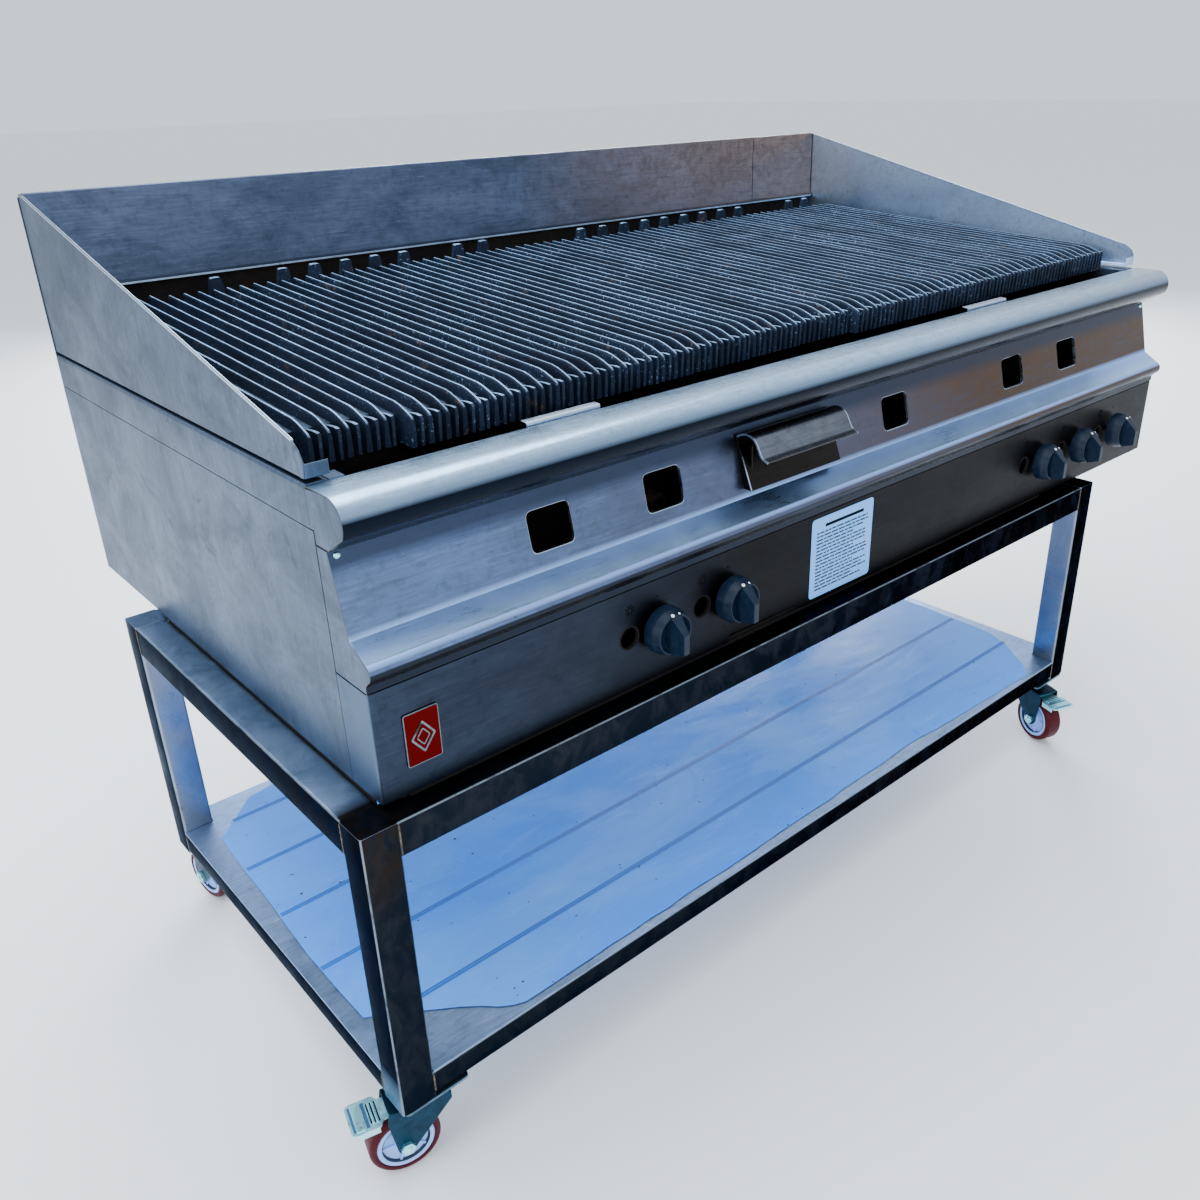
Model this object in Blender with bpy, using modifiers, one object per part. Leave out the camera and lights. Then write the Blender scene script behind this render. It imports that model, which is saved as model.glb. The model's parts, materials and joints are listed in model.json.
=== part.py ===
"""Five-burner gas chargrill on a wheeled stand, as separate parts with their real joints.

Metres, +Z up, front towards -Y. The appliance is laid out from three datums: x from its left side,
y from the front of its control fascia, z from its bottom edge. The empty "datum" then moves everything,
so that the finished object stands on z = 0 with its bounding box centred on the origin.
"""

import math

import bmesh
import bpy
from mathutils import Matrix

# Appliance body
WIDTH = 1.500
DEPTH = 0.770
SHEET = 0.0015          # sheet steel of the casing
GAP = 0.0004            # left between parts that touch
HOB_TOP = 0.300
SKIRT = 0.040           # height of the hob's side skirts
BULL_RADIUS = 0.022     # rounded front edge of the hob
OPENING_FRONT = 0.062   # hob opening that the grate sits in
OPENING_REAR = 0.722
SIDE_STRIP = 0.024      # hob surface left at each side of the opening
FASCIA_TOP = 0.1185
RETURN_DEPTH = 0.057    # how far the fascia and the vent panel wrap round the sides
SPLASH_BOTTOM = 0.378
SPLASH_TOP = 0.4975
SPLASH_Y = 0.760

# Vent panel above the fascia, and the fat drawer in it
VENT_X = (0.233, 0.387, 0.802, 1.087, 1.242)
VENT_SIZE = (0.055, 0.043)
VENT_Z = 0.205
DRAWER_X = (0.505, 0.667)
DRAWER_Z = (0.176, 0.238)
DRAWER_PROUD = 0.0084   # y of the front plate's bottom edge, which stands further out than the panel
DRAWER_DEPTH = 0.300
PANEL_LEAN = (0.0375 - 0.0169) / (0.245 - 0.160)   # how far the panel leans back for each metre it rises
CREASE_Z = 0.165        # where the panel turns outwards to its nose
NOSE_CENTRE = (-0.0013, 0.1420)
NOSE_RADIUS = 0.0100

# Gas controls
KNOB_X = (0.350, 0.460, 1.146, 1.257, 1.372)
KNOB_Z = 0.0625
KNOB_RADIUS = 0.0275
KNOB_BACK = -0.0065     # leaves room for the push-in travel
KNOB_FRONT = -0.046
GRIP = (0.015, 0.050)   # width and height of the bar across the knob
SPINDLE_RADIUS = 0.004
SPINDLE_HOLE = 0.0065   # radius of its hole in the fascia
SIGHT_X = (0.3084, 0.4181, 1.105, 1.2155, 1.331)
SIGHT_RADIUS = 0.0135
BURNERS = 5
BURNER_Z = 0.150
BURNER_FOOT = 0.0995    # just above the firebox floor
MANIFOLD_Y = 0.075
INLET_X = 1.430
NOTCH_X = (0.463, 0.600)         # shallow cut-out in the fascia's bottom edge

# Grate: castings side by side that slope up towards the rear
BRANDERS = 15
GRATE_MARGIN = 0.025
BRANDER_PITCH = (WIDTH - 2 * GRATE_MARGIN) / BRANDERS
BRANDER_GAP = 0.0008
BLADES = 5
BLADE_THICKNESS = 0.0050
BLADE_HEIGHT = 0.028
PLATE_DROP = 0.0125               # from the blades' tops down to the plate between them
TOOTH_LENGTH = 0.032             # the blades' front ends dip and reach lower than the plate
TOOTH_DEPTH = 0.0395
GRATE_FRONT = (0.095, 0.3330)    # y, z where the sloping top plane starts
FIRST_SHIFT = 0.016               # the first casting is pushed back
BRANDER_LUGS = ((), (1,), (1,), *[(-1, 1)] * 2, (1,), (-1,), (), *[(-1, 1)] * 4, (-1,), (1,), (-1,))
GRATE_LENGTH = 0.593
GRATE_SLOPE = math.radians(3.4)

# Stand of square tube
STAND_X = (-0.039, 1.2935)
STAND_Y = (-0.025, 0.5895)
STAND_TOP = -0.005
TUBE = 0.040
LOW_TUBE = 0.030
TUBE_WALL = 0.002
RAIL_INSET = 0.0004     # how far a rail's faces lie inside the legs' faces
LEG_BOTTOM = -0.360
SHELF_TOP = -0.3241
CASTOR_PLATE = (0.078, 0.066, 0.003)

# Castors: swivel axis measured in from the stand's outer corner
CASTOR_HEIGHT = 0.110
SWIVEL_INSET = (0.042, 0.032)
TRAIL = 0.030
WHEEL_RADIUS = 0.040
WHEEL_WIDTH = 0.030
HUB_RADIUS = 0.0325
AXLE_RADIUS = 0.005
FORK_GAP = 0.034
FORK_PLATE = 0.0025
PEDAL_REACH = 0.085
PEDAL_WIDTH = 0.044
PEDAL_PIVOT = (0.036, -0.0225)   # distance behind the swivel axis, height below the leg
STEPS = 24

FLOOR = LEG_BOTTOM - CASTOR_HEIGHT
CASTORS = {                      # x side, y side, heading of the trailing wheel, brake pedal
    "front_left": (0, 0, math.radians(166), True),
    "front_right": (1, 0, math.radians(-110), True),
    "rear_left": (0, 1, math.radians(100), False),
    "rear_right": (1, 1, math.radians(-60), False),
}

MATERIALS = {                    # colour, roughness, metallic
    "casing_steel": ((0.52, 0.56, 0.61), 0.32, 1.0),
    "splash_steel": ((0.42, 0.46, 0.53), 0.35, 1.0),
    "fascia_steel": ((0.16, 0.16, 0.18), 0.38, 1.0),
    "drawer_steel": ((0.45, 0.46, 0.48), 0.30, 1.0),
    "firebox_steel": ((0.05, 0.045, 0.04), 0.75, 0.6),
    "burner_iron": ((0.07, 0.06, 0.055), 0.80, 0.5),
    "gas_pipe": ((0.45, 0.42, 0.36), 0.45, 0.8),
    "brander_iron": ((0.035, 0.04, 0.055), 0.55, 0.5),
    "knob_plastic": ((0.04, 0.07, 0.12), 0.35, 0.0),
    "stand_steel": ((0.30, 0.33, 0.37), 0.40, 1.0),
    "shelf_steel": ((0.55, 0.62, 0.70), 0.35, 1.0),
    "castor_zinc": ((0.55, 0.62, 0.66), 0.35, 1.0),
    "castor_hub": ((0.62, 0.64, 0.72), 0.45, 0.0),
    "castor_tyre": ((0.22, 0.01, 0.02), 0.40, 0.0),
    "badge_enamel": ((0.60, 0.02, 0.03), 0.30, 0.0),
}


# ---------------------------------------------------------------- helpers

def clear_scene():
    for obj in list(bpy.data.objects):
        bpy.data.objects.remove(obj, do_unlink=True)


def new_collection(name):
    collection = bpy.data.collections.new(name)
    bpy.context.scene.collection.children.link(collection)
    return collection


def make_materials():
    made = {}
    for name, (colour, roughness, metallic) in MATERIALS.items():
        material = bpy.data.materials.new(name)
        material.use_nodes = True
        shader = material.node_tree.nodes["Principled BSDF"]
        shader.inputs["Base Color"].default_value = (*colour, 1.0)
        shader.inputs["Roughness"].default_value = roughness
        shader.inputs["Metallic"].default_value = metallic
        made[name] = material
    return made


def object_from_bmesh(name, bm):
    bmesh.ops.recalc_face_normals(bm, faces=bm.faces)
    mesh = bpy.data.meshes.new(name)
    bm.to_mesh(mesh)
    bm.free()
    obj = bpy.data.objects.new(name, mesh)
    PARTS.objects.link(obj)
    return obj


def box(name, low, high):
    bm = bmesh.new()
    size = [b - a for a, b in zip(low, high)]
    centre = [(a + b) / 2 for a, b in zip(low, high)]
    bmesh.ops.create_cube(bm, matrix=Matrix.Translation(centre) @ Matrix.Diagonal((*size, 1)))
    return object_from_bmesh(name, bm)


def rod(name, start, end, radius, sides=12, radius_end=None):
    """A cylinder or cone between two points on a line along X, Y or Z."""
    span = [b - a for a, b in zip(start, end)]
    length = math.dist(start, end)
    turn = {0: Matrix.Rotation(math.pi / 2, 4, "Y"), 1: Matrix.Rotation(-math.pi / 2, 4, "X"), 2: Matrix()}
    along = max(range(3), key=lambda i: abs(span[i]))
    flip = Matrix.Rotation(math.pi, 4, "X") if span[along] < 0 else Matrix()
    middle = [(a + b) / 2 for a, b in zip(start, end)]
    bm = bmesh.new()
    bmesh.ops.create_cone(
        bm, cap_ends=True, segments=sides, depth=length, radius1=radius,
        radius2=radius if radius_end is None else radius_end,
        matrix=Matrix.Translation(middle) @ turn[along] @ flip)
    return object_from_bmesh(name, bm)


PLANES = {   # matrix that stands a flat outline upright: (y, z) along X, (x, z) along Y, (x, y) along Z
    "X": Matrix(((0, 0, 1, 0), (1, 0, 0, 0), (0, 1, 0, 0), (0, 0, 0, 1))),
    "Y": Matrix(((1, 0, 0, 0), (0, 0, -1, 0), (0, 1, 0, 0), (0, 0, 0, 1))),
    "Z": Matrix(),
}


def extruded(name, points, axis, start, end, closed):
    """A flat outline as a 2D curve, extruded between two places on an axis and made a mesh."""
    curve = bpy.data.curves.new(name, "CURVE")
    curve.dimensions = "2D"
    curve.fill_mode = "BOTH" if closed else "NONE"
    curve.extrude = (end - start) / 2
    spline = curve.splines.new("POLY")
    spline.points.add(len(points) - 1)
    for point, (a, b) in zip(spline.points, points):
        point.co = (a, b, 0, 1)
    spline.use_cyclic_u = closed
    outline = bpy.data.objects.new(name + "_outline", curve)
    PARTS.objects.link(outline)
    bpy.context.view_layer.update()
    evaluated = outline.evaluated_get(bpy.context.evaluated_depsgraph_get())
    mesh = bpy.data.meshes.new_from_object(evaluated)
    bpy.data.objects.remove(outline, do_unlink=True)
    middle = [0, 0, 0]
    middle["XYZ".index(axis)] = (start + end) / 2
    bm = bmesh.new()
    bm.from_mesh(mesh)
    bpy.data.meshes.remove(mesh)
    bmesh.ops.remove_doubles(bm, verts=bm.verts, dist=1e-6)
    bm.transform(Matrix.Translation(middle) @ PLANES[axis])
    return object_from_bmesh(name, bm)


def prism(name, outline, axis, start, end):
    return extruded(name, outline, axis, start, end, closed=True)


def folded(name, path, axis, start, end, thickness=SHEET):
    """Sheet bent along a path of mid-thickness points."""
    obj = extruded(name, path, axis, start, end, closed=False)
    solidify = obj.modifiers.new("thickness", "SOLIDIFY")
    solidify.thickness = thickness
    solidify.offset = 0
    solidify.use_even_offset = True
    return obj


def turned(name, profile, steps=STEPS):
    """A profile of (radius, height) points turned about Z, top to bottom on its outer side."""
    bm = bmesh.new()
    verts = [bm.verts.new((radius, 0, height)) for radius, height in profile]
    for i, vert in enumerate(verts):
        bm.edges.new((vert, verts[(i + 1) % len(verts)]))
    mesh = bpy.data.meshes.new(name)
    bm.to_mesh(mesh)
    bm.free()
    obj = bpy.data.objects.new(name, mesh)
    PARTS.objects.link(obj)
    screw = obj.modifiers.new("turn", "SCREW")
    screw.steps = screw.render_steps = steps
    screw.use_merge_vertices = True
    screw.merge_threshold = 1e-5
    return obj


def arc(centre, radius, start, end, count):
    """Points on an arc, angles in degrees."""
    angles = [math.radians(start + (end - start) * i / (count - 1)) for i in range(count)]
    return [(centre[0] + radius * math.cos(a), centre[1] + radius * math.sin(a)) for a in angles]


def combine(target, tools, operation):
    for tool in tools:
        modifier = target.modifiers.new(operation.lower(), "BOOLEAN")
        modifier.operation = operation
        modifier.solver = "EXACT"
        modifier.object = tool
        PARTS.objects.unlink(tool)
        CUTTERS.objects.link(tool)
        tool.hide_render = True
        tool.display_type = "WIRE"
    return target


def join(target, *tools):
    return combine(target, tools, "UNION")


def cut(target, *tools):
    return combine(target, tools, "DIFFERENCE")


def baked(obj):
    """The object's evaluated mesh; the object and the tools of its Booleans are removed."""
    bpy.context.view_layer.update()
    mesh = bpy.data.meshes.new_from_object(obj.evaluated_get(bpy.context.evaluated_depsgraph_get()))
    for modifier in obj.modifiers:
        if modifier.type == "BOOLEAN":
            bpy.data.objects.remove(modifier.object, do_unlink=True)
    bpy.data.objects.remove(obj, do_unlink=True)
    return mesh


def copies(mesh, names, material, round_piece=False):
    """One object for each name, all sharing the mesh."""
    made = []
    for name in names:
        obj = bpy.data.objects.new(name, mesh)
        PARTS.objects.link(obj)
        made.append(paint(obj, material))
    if round_piece:
        smooth(made[0])
    return made


def paint(obj, material):
    obj.data.materials.clear()
    obj.data.materials.append(FINISH[material])
    return obj


def smooth(obj):
    obj.data.shade_smooth()
    obj.data.set_sharp_from_angle(angle=math.radians(35))
    return obj


def numbered(name, count):
    digits = 2 if count > 9 else 1
    return [f"{name}_{i + 1:0{digits}d}" for i in range(count)]


# ---------------------------------------------------------------- casing

def panel_y(z):
    """Front face of the sloping vent panel at a height."""
    return 0.0169 + (z - 0.160) * PANEL_LEAN


def bull_path():
    """Mid-thickness path of the hob's front edge: inner lip, top, rounded nose and underside."""
    half = SHEET / 2
    centre = (BULL_RADIUS, HOB_TOP - BULL_RADIUS)
    nose = arc(centre, BULL_RADIUS - half, 90, 215, 9)
    top = HOB_TOP - half - 0.0002
    return [(OPENING_FRONT, HOB_TOP - SKIRT), (OPENING_FRONT, top), *nose, (0.034, 0.2475), (0.0562, 0.2475)]


def make_hob_top():
    """Top frame with rounded front edge, side skirts and an opening for the grate."""
    hob = prism("hob_top", [(0.0003, 0.035), (WIDTH - 0.0003, 0.035), (WIDTH - 0.0003, DEPTH - 0.0025),
                            (0.0003, DEPTH - 0.0025)], "Z", HOB_TOP - SHEET, HOB_TOP)
    opening = box("hob_opening", (SIDE_STRIP, OPENING_FRONT, HOB_TOP - 0.1),
                  (WIDTH - SIDE_STRIP, OPENING_REAR, HOB_TOP + 0.1))
    front = folded("hob_front", bull_path(), "X", 0.0004, WIDTH - 0.0004)
    cap_outline = [*bull_path()[2:-1], (RETURN_DEPTH, 0.2475), (RETURN_DEPTH, HOB_TOP - SKIRT - 0.0002),
                   (DEPTH - 0.003, HOB_TOP - SKIRT - 0.0002), (DEPTH - 0.003, HOB_TOP - 0.0006)]
    caps = [prism(f"hob_cap_{side}", cap_outline, "X", start, start + SHEET)
            for side, start in (("left", 0.0), ("right", WIDTH - SHEET))]
    cut(hob, opening)
    return paint(join(hob, front, *caps), "casing_steel")


def make_side_panels():
    """Flat sides with an inward flange along the bottom."""
    top = HOB_TOP - SKIRT - 0.001
    half = SHEET / 2
    for name, outer, inward in (("left_side_panel", half, 1), ("right_side_panel", WIDTH - half, -1)):
        path = [(outer + inward * 0.020, half), (outer, half), (outer, top)]
        panel = folded(name, path, "Y", RETURN_DEPTH + 0.0008, DEPTH - 0.0025)
        paint(panel, "casing_steel")


def make_rear_panel():
    """Back of the casing, which runs up behind the splashback; the gas inlet comes through it."""
    back = DEPTH - SHEET / 2
    path = [(back, 0.0), (back, SPLASH_TOP - 0.004)]
    panel = folded("rear_panel", path, "X", 0.001, WIDTH - 0.001)
    hole = rod("inlet_hole", (INLET_X, DEPTH - 0.02, KNOB_Z), (INLET_X, DEPTH + 0.02, KNOB_Z), 0.016, 16)
    return paint(cut(panel, hole), "casing_steel")


def make_base_pan():
    """Underside of the casing: a sheet with turned-down lips, and pressed feet that stand on the rails."""
    inset, low, high = 0.0225, STAND_TOP + GAP, 0.0037
    right, rear = WIDTH - inset, DEPTH - 0.003
    pan = box("base_pan", (inset, 0.004, high - SHEET), (right, rear, high))
    under = high - 0.0005
    lips = [box(f"base_lip_{side}", (x, 0.0045, low), (x + SHEET, rear - 0.001, under))
            for side, x in (("left", inset + 0.0003), ("right", right - 0.0003 - SHEET))]
    lips.append(box("base_lip_front", (inset + 0.001, 0.0043, low), (1.150, 0.0058, under)))
    feet = [box(f"base_foot_{i}", (x, y, low + 0.0002), (x + 0.030, y + length, high - 0.001))
            for i, (x, y, length) in enumerate((
                (0.050, 0.008, 0.006), (1.220, 0.008, 0.006), (0.050, 0.555, 0.028), (1.258, 0.300, 0.028),
                (1.220, 0.555, 0.028)))]
    return paint(join(pan, *lips, *feet), "casing_steel")


def nose_path():
    """Mid-thickness path of the vent panel: leaning face, outward slope and projecting round nose."""
    half = SHEET / 2
    nose = arc(NOSE_CENTRE, NOSE_RADIUS - half, 105, 250, 9)
    return [(panel_y(0.2455) + half, 0.2455), (panel_y(CREASE_Z) + half, CREASE_Z), *nose,
            (half, FASCIA_TOP + 0.0085), (half, FASCIA_TOP + 0.0013)]


def make_vent_panel():
    """Sloping panel with five air vents and the drawer's opening, closed at both ends."""
    panel = folded("vent_panel", nose_path(), "X", 0.0, WIDTH)
    cap_outline = [*nose_path(), (RETURN_DEPTH, FASCIA_TOP + 0.0013), (RETURN_DEPTH, 0.2455)]
    caps = [prism(f"vent_cap_{side}", cap_outline, "X", start, start + SHEET)
            for side, start in (("left", 0.0003), ("right", WIDTH - 0.0003 - SHEET))]
    cutters = [vent_cutter(i, x) for i, x in enumerate(VENT_X)]
    cutters.append(box("drawer_opening", (DRAWER_X[0] + 0.008, -0.02, DRAWER_Z[0] + 0.006),
                       (DRAWER_X[1] - 0.008, 0.05, DRAWER_Z[1] - 0.006)))
    return paint(cut(join(panel, *caps), *cutters), "casing_steel")


def vent_cutter(index, x):
    """A square with rounded corners."""
    width, height = VENT_SIZE
    radius = 0.005
    corners = ((1, 1, 0), (-1, 1, 90), (-1, -1, 180), (1, -1, 270))
    outline = []
    for sx, sz, start in corners:
        centre = (x + sx * (width / 2 - radius), VENT_Z + sz * (height / 2 - radius))
        outline += arc(centre, radius, start, start + 90, 3)
    return prism(f"vent_cutter_{index}", outline, "Y", -0.03, 0.07)


def make_control_fascia():
    """Front panel that wraps round both ends, with spindle and sight holes."""
    half = SHEET / 2
    path = [(half, RETURN_DEPTH), (half, half), (WIDTH - half, half), (WIDTH - half, RETURN_DEPTH)]
    fascia = folded("control_fascia", path, "Z", 0.0, FASCIA_TOP)
    holes = [rod(f"spindle_hole_{i}", (x, -0.01, KNOB_Z), (x, 0.01, KNOB_Z), SPINDLE_HOLE, 12)
             for i, x in enumerate(KNOB_X)]
    holes += [rod(f"sight_hole_{i}", (x, -0.01, KNOB_Z), (x, 0.01, KNOB_Z), SIGHT_RADIUS, 20)
              for i, x in enumerate(SIGHT_X)]
    start, end = NOTCH_X
    notch = [(start, -0.001), *arc((start + 0.004, 0.006), 0.004, 180, 90, 3),
             (end - 0.020, 0.0075), (end, -0.001)]
    holes.append(prism("fascia_notch", notch, "Y", -0.01, 0.01))
    return paint(cut(fascia, *holes), "fascia_steel")


def make_badge():
    outline = [(0.030, 0.028), (0.068, 0.028), (0.068, 0.085), (0.030, 0.085)]
    return paint(prism("badge", outline, "Y", -GAP - 0.0015, -GAP), "badge_enamel")


def make_splash_back():
    """Rear splash plate, hemmed along its top and bottom edges."""
    path = [(SPLASH_Y - 0.004, SPLASH_BOTTOM), (SPLASH_Y, SPLASH_BOTTOM + 0.001), (SPLASH_Y, SPLASH_TOP),
            (SPLASH_Y + 0.008, SPLASH_TOP)]
    return paint(folded("splash_back", path, "X", 0.0055, WIDTH - 0.0055), "splash_steel")


def make_splash_guards():
    """Tapered side guards with a bottom flange and a small tab at the front."""
    bottom, rear = HOB_TOP + 0.0045, SPLASH_Y + 0.0062
    outline = [(0.064, bottom), (0.0625, 0.319), (0.068, 0.329), (0.0805, 0.337), (0.757, SPLASH_TOP),
               (rear, SPLASH_TOP), (rear, bottom)]
    for name, face, inward in (("splash_guard_left", 0.002, 1), ("splash_guard_right", WIDTH - 0.002, -1)):
        plate = prism(name, outline, "X", *sorted((face, face + inward * SHEET)))
        flange_x = sorted((face + inward * 0.0003, face + inward * 0.020))
        flange = box(name + "_flange", (flange_x[0], 0.0645, bottom - 0.0012),
                     (flange_x[1], rear - 0.001, bottom + 0.0003))
        tab_x = sorted((face + inward * 0.0005, face + inward * 0.025))
        tab = box(name + "_tab", (tab_x[0], 0.0648, bottom - 0.0008), (tab_x[1], 0.0663, bottom + 0.0125))
        paint(join(plate, flange, tab), "splash_steel")


# ---------------------------------------------------------------- inside

def grate_z(y):
    """Height of the sloping top plane of the grate."""
    return GRATE_FRONT[1] + (y - GRATE_FRONT[0]) * math.tan(GRATE_SLOPE)


def make_firebox():
    """Heat-resistant tray under the grate, with the front fat gutter and the bars the castings rest on."""
    left, right = 0.030, WIDTH - 0.030
    front_wall, rear_wall, floor = 0.122, 0.715, 0.098
    path = [(0.0675, 0.290), (0.0675, 0.258), (front_wall, 0.254), (front_wall, floor), (rear_wall, floor),
            (rear_wall, 0.336)]
    tray = folded("firebox", path, "X", left, right)
    under = BLADE_HEIGHT + 0.0016
    end_outline = [(0.0677, 0.288), (0.150, 0.2905), (0.152, grate_z(0.152) - under),
                   (0.700, grate_z(0.700) - under), (rear_wall, 0.3355), (rear_wall, floor),
                   (front_wall, floor), (front_wall, 0.254), (0.0677, 0.258)]
    ends = [prism(f"firebox_end_{i}", end_outline, "X", x, x + SHEET)
            for i, x in enumerate((left + 0.0003, right - 0.0003 - SHEET))]
    bars = [box(f"support_bar_{i}", (left + 0.0006, y, grate_z(y) - under - 0.014),
                (right - 0.0006, y + 0.012, grate_z(y) - under + 0.0010))
            for i, y in enumerate((0.152, 0.672))]
    runner_top = DRAWER_Z[0] + 0.008 - GAP
    runners = [box(f"drawer_runner_{i}", (x, front_wall - 0.0004, runner_top - 0.010),
                   (x + 0.010, front_wall + DRAWER_DEPTH - 0.04, runner_top))
               for i, x in enumerate((DRAWER_X[0] + 0.008, DRAWER_X[1] - 0.018))]
    mouth = box("drawer_mouth", (DRAWER_X[0] + 0.004, front_wall - 0.01, runner_top - 0.001),
                (DRAWER_X[1] - 0.004, front_wall + 0.01, DRAWER_Z[1]))
    hole_y = (front_wall - 0.01, front_wall + 0.01)
    holes = [rod(f"burner_hole_{i}", (x, hole_y[0], BURNER_Z), (x, hole_y[1], BURNER_Z), 0.015)
             for i, x in enumerate(burner_x())]
    cut(join(tray, *ends, *bars, *runners), mouth, *holes)
    return paint(tray, "firebox_steel")


def burner_x():
    return [WIDTH * (i + 0.5) / BURNERS for i in range(BURNERS)]


def make_burners():
    """Cast burners that run front to back, one under each fifth of the grate."""
    section = [(-0.030, -0.016), (0.030, -0.016), (0.022, 0.020), (0.006, 0.030), (-0.006, 0.030),
               (-0.022, 0.020)]
    body = prism("burner", section, "Y", 0.165, 0.700)
    tube = rod("mixing_tube", (0, 0.104, 0), (0, 0.170, 0), 0.0135)
    foot = box("burner_foot", (-0.012, 0.655, BURNER_FOOT - BURNER_Z), (0.012, 0.690, -0.010))
    jet_bore = rod("jet_bore", (0, 0.09, 0), (0, 0.112, 0), 0.009, 8)
    mesh = baked(cut(join(body, tube, foot), jet_bore))
    for burner, x in zip(copies(mesh, numbered("burner", BURNERS), "burner_iron"), burner_x()):
        burner.location = (x, 0, BURNER_Z)


def make_gas_manifold():
    """Gas rail behind the fascia, with five taps, a feed to each burner's jet and the inlet at the rear."""
    rail_start, rail_end = 0.120, INLET_X + 0.008
    feed_y = MANIFOLD_Y + 0.002
    rail = rod("gas_manifold", (rail_start, MANIFOLD_Y, KNOB_Z), (rail_end, MANIFOLD_Y, KNOB_Z), 0.010, 8)
    taps = [rod(f"tap_{i}", (x, 0.027, KNOB_Z), (x, MANIFOLD_Y + 0.004, KNOB_Z), 0.014, 8)
            for i, x in enumerate(KNOB_X)]
    feeds = [rod(f"feed_{i}", (x, feed_y, KNOB_Z), (x, feed_y, BURNER_Z + 0.006), 0.006, 6)
             for i, x in enumerate(burner_x())]
    jets = [rod(f"jet_{i}", (x, MANIFOLD_Y - 0.006, BURNER_Z), (x, 0.103, BURNER_Z), 0.0065, 6)
            for i, x in enumerate(burner_x())]
    inlet = rod("inlet", (INLET_X, MANIFOLD_Y - 0.008, KNOB_Z), (INLET_X, DEPTH - 0.0002, KNOB_Z), 0.0095, 8)
    return paint(join(rail, *taps, *feeds, *jets, inlet), "gas_pipe")


def make_controls():
    """Tap spindles, which push in, and the knobs that turn on them."""
    spindle = baked(rod("spindle", (0, -0.028, 0), (0, 0.021, 0), SPINDLE_RADIUS, 12))
    knob = baked(knob_shape())
    spindles = copies(spindle, numbered("tap_spindle", BURNERS), "gas_pipe")
    knobs = copies(knob, numbered("knob", BURNERS), "knob_plastic")
    for obj, x in zip(spindles + knobs, KNOB_X + KNOB_X):
        obj.location = (x, 0, KNOB_Z)


def knob_shape():
    """Round body with a wide finger grip across it, bored for the spindle."""
    body = rod("knob", (0, KNOB_BACK, 0), (0, -0.021, 0), KNOB_RADIUS, 28, KNOB_RADIUS - 0.002)
    half, reach = GRIP[0] / 2, GRIP[1] / 2
    grip = prism("knob_grip", [(-half, -reach), (half, -reach), (half, reach), (-half, reach)],
                 "Y", KNOB_FRONT, -0.018)
    bore = rod("knob_bore", (0, 0.0, 0), (0, -0.0285, 0), SPINDLE_RADIUS + 0.0004, 12)
    return cut(join(body, grip), bore)


def make_fat_drawer():
    """Open tray behind a leaning front plate with a rolled hook to pull it by."""
    low, high = DRAWER_Z
    x0, x1 = DRAWER_X
    top, thickness = panel_y(high) - 0.0026, 0.0020
    face = [(DRAWER_PROUD + thickness, low), (top + thickness, high), (top, high), (DRAWER_PROUD, low)]
    plate = prism("fat_drawer", face, "X", x0, x1)
    cheek = [(DRAWER_PROUD + 0.001, low + 0.0003), (panel_y(low) - 0.0006, low + 0.0003),
             (panel_y(high) - 0.0012, high - 0.004), (top + 0.001, high - 0.004)]
    cheeks = [prism(f"drawer_cheek_{i}", cheek, "X", x, x + SHEET)
              for i, x in enumerate((x0 + 0.0003, x1 - 0.0003 - SHEET))]
    back = 0.018 + DRAWER_DEPTH
    tray = box("drawer_tray", (x0 + 0.010, 0.0175, low + 0.008), (x1 - 0.010, back, high - 0.012))
    hollow = box("drawer_hollow", (x0 + 0.010 + SHEET, 0.034, low + 0.008 + SHEET),
                 (x1 - 0.010 - SHEET, back - SHEET, high))
    hook = [(top + 0.0005, high - 0.0030), (0.0280, high + 0.0005), (0.0200, high + 0.0030),
            (0.0110, high + 0.0020), (0.0040, high - 0.0030), (-0.0010, high - 0.0110),
            (-0.0060, high - 0.0190), (-0.0150, high - 0.0230)]
    handle = folded("drawer_hook", hook, "X", x0 + 0.0003, x1 - 0.0003, 0.0016)
    return paint(join(cut(join(plate, tray), hollow), *cheeks, handle), "drawer_steel")


# ---------------------------------------------------------------- grate

def brander_mesh(lug_sides):
    """A ribbed plate with five tall blades, teeth at the front and lifting lugs at the rear."""
    width = BRANDER_PITCH - BRANDER_GAP
    half = BLADE_THICKNESS / 2
    blade_x = [(i - (BLADES - 1) / 2) * BRANDER_PITCH / BLADES for i in range(BLADES)]
    comb = [(width / 2, -BLADE_HEIGHT), (-width / 2, -BLADE_HEIGHT), (-width / 2, -PLATE_DROP)]
    for x in blade_x:
        comb += [(x - half, -PLATE_DROP), (x - half, 0), (x + half, 0), (x + half, -PLATE_DROP)]
    comb.append((width / 2, -PLATE_DROP))
    casting = prism("brander", comb, "Y", TOOTH_LENGTH, GRATE_LENGTH)
    root = TOOTH_LENGTH + 0.006
    tooth = [(0, -0.0095), (0.004, -0.0075), (TOOTH_LENGTH + 0.0005, -0.0003), (root, -0.0003),
             (root, 0.0006 - BLADE_HEIGHT), (TOOTH_LENGTH + 0.001, 0.0006 - BLADE_HEIGHT),
             (TOOTH_LENGTH - 0.003, -TOOTH_DEPTH), (0, -TOOTH_DEPTH)]
    teeth = [prism(f"tooth_{i}", tooth, "X", x - half + 0.0003, x + half - 0.0003)
             for i, x in enumerate(blade_x)]
    lug = [(-0.012, -0.024), (0.012, -0.024), (0.0055, 0.0145), (-0.0055, 0.0145)]
    lugs = [prism(f"lug_{side}", [(x + side * BRANDER_PITCH / 4, z) for x, z in lug], "Y",
                  GRATE_LENGTH - 0.004, GRATE_LENGTH + 0.004)
            for side in lug_sides]
    return baked(join(casting, *teeth, *lugs))


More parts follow.
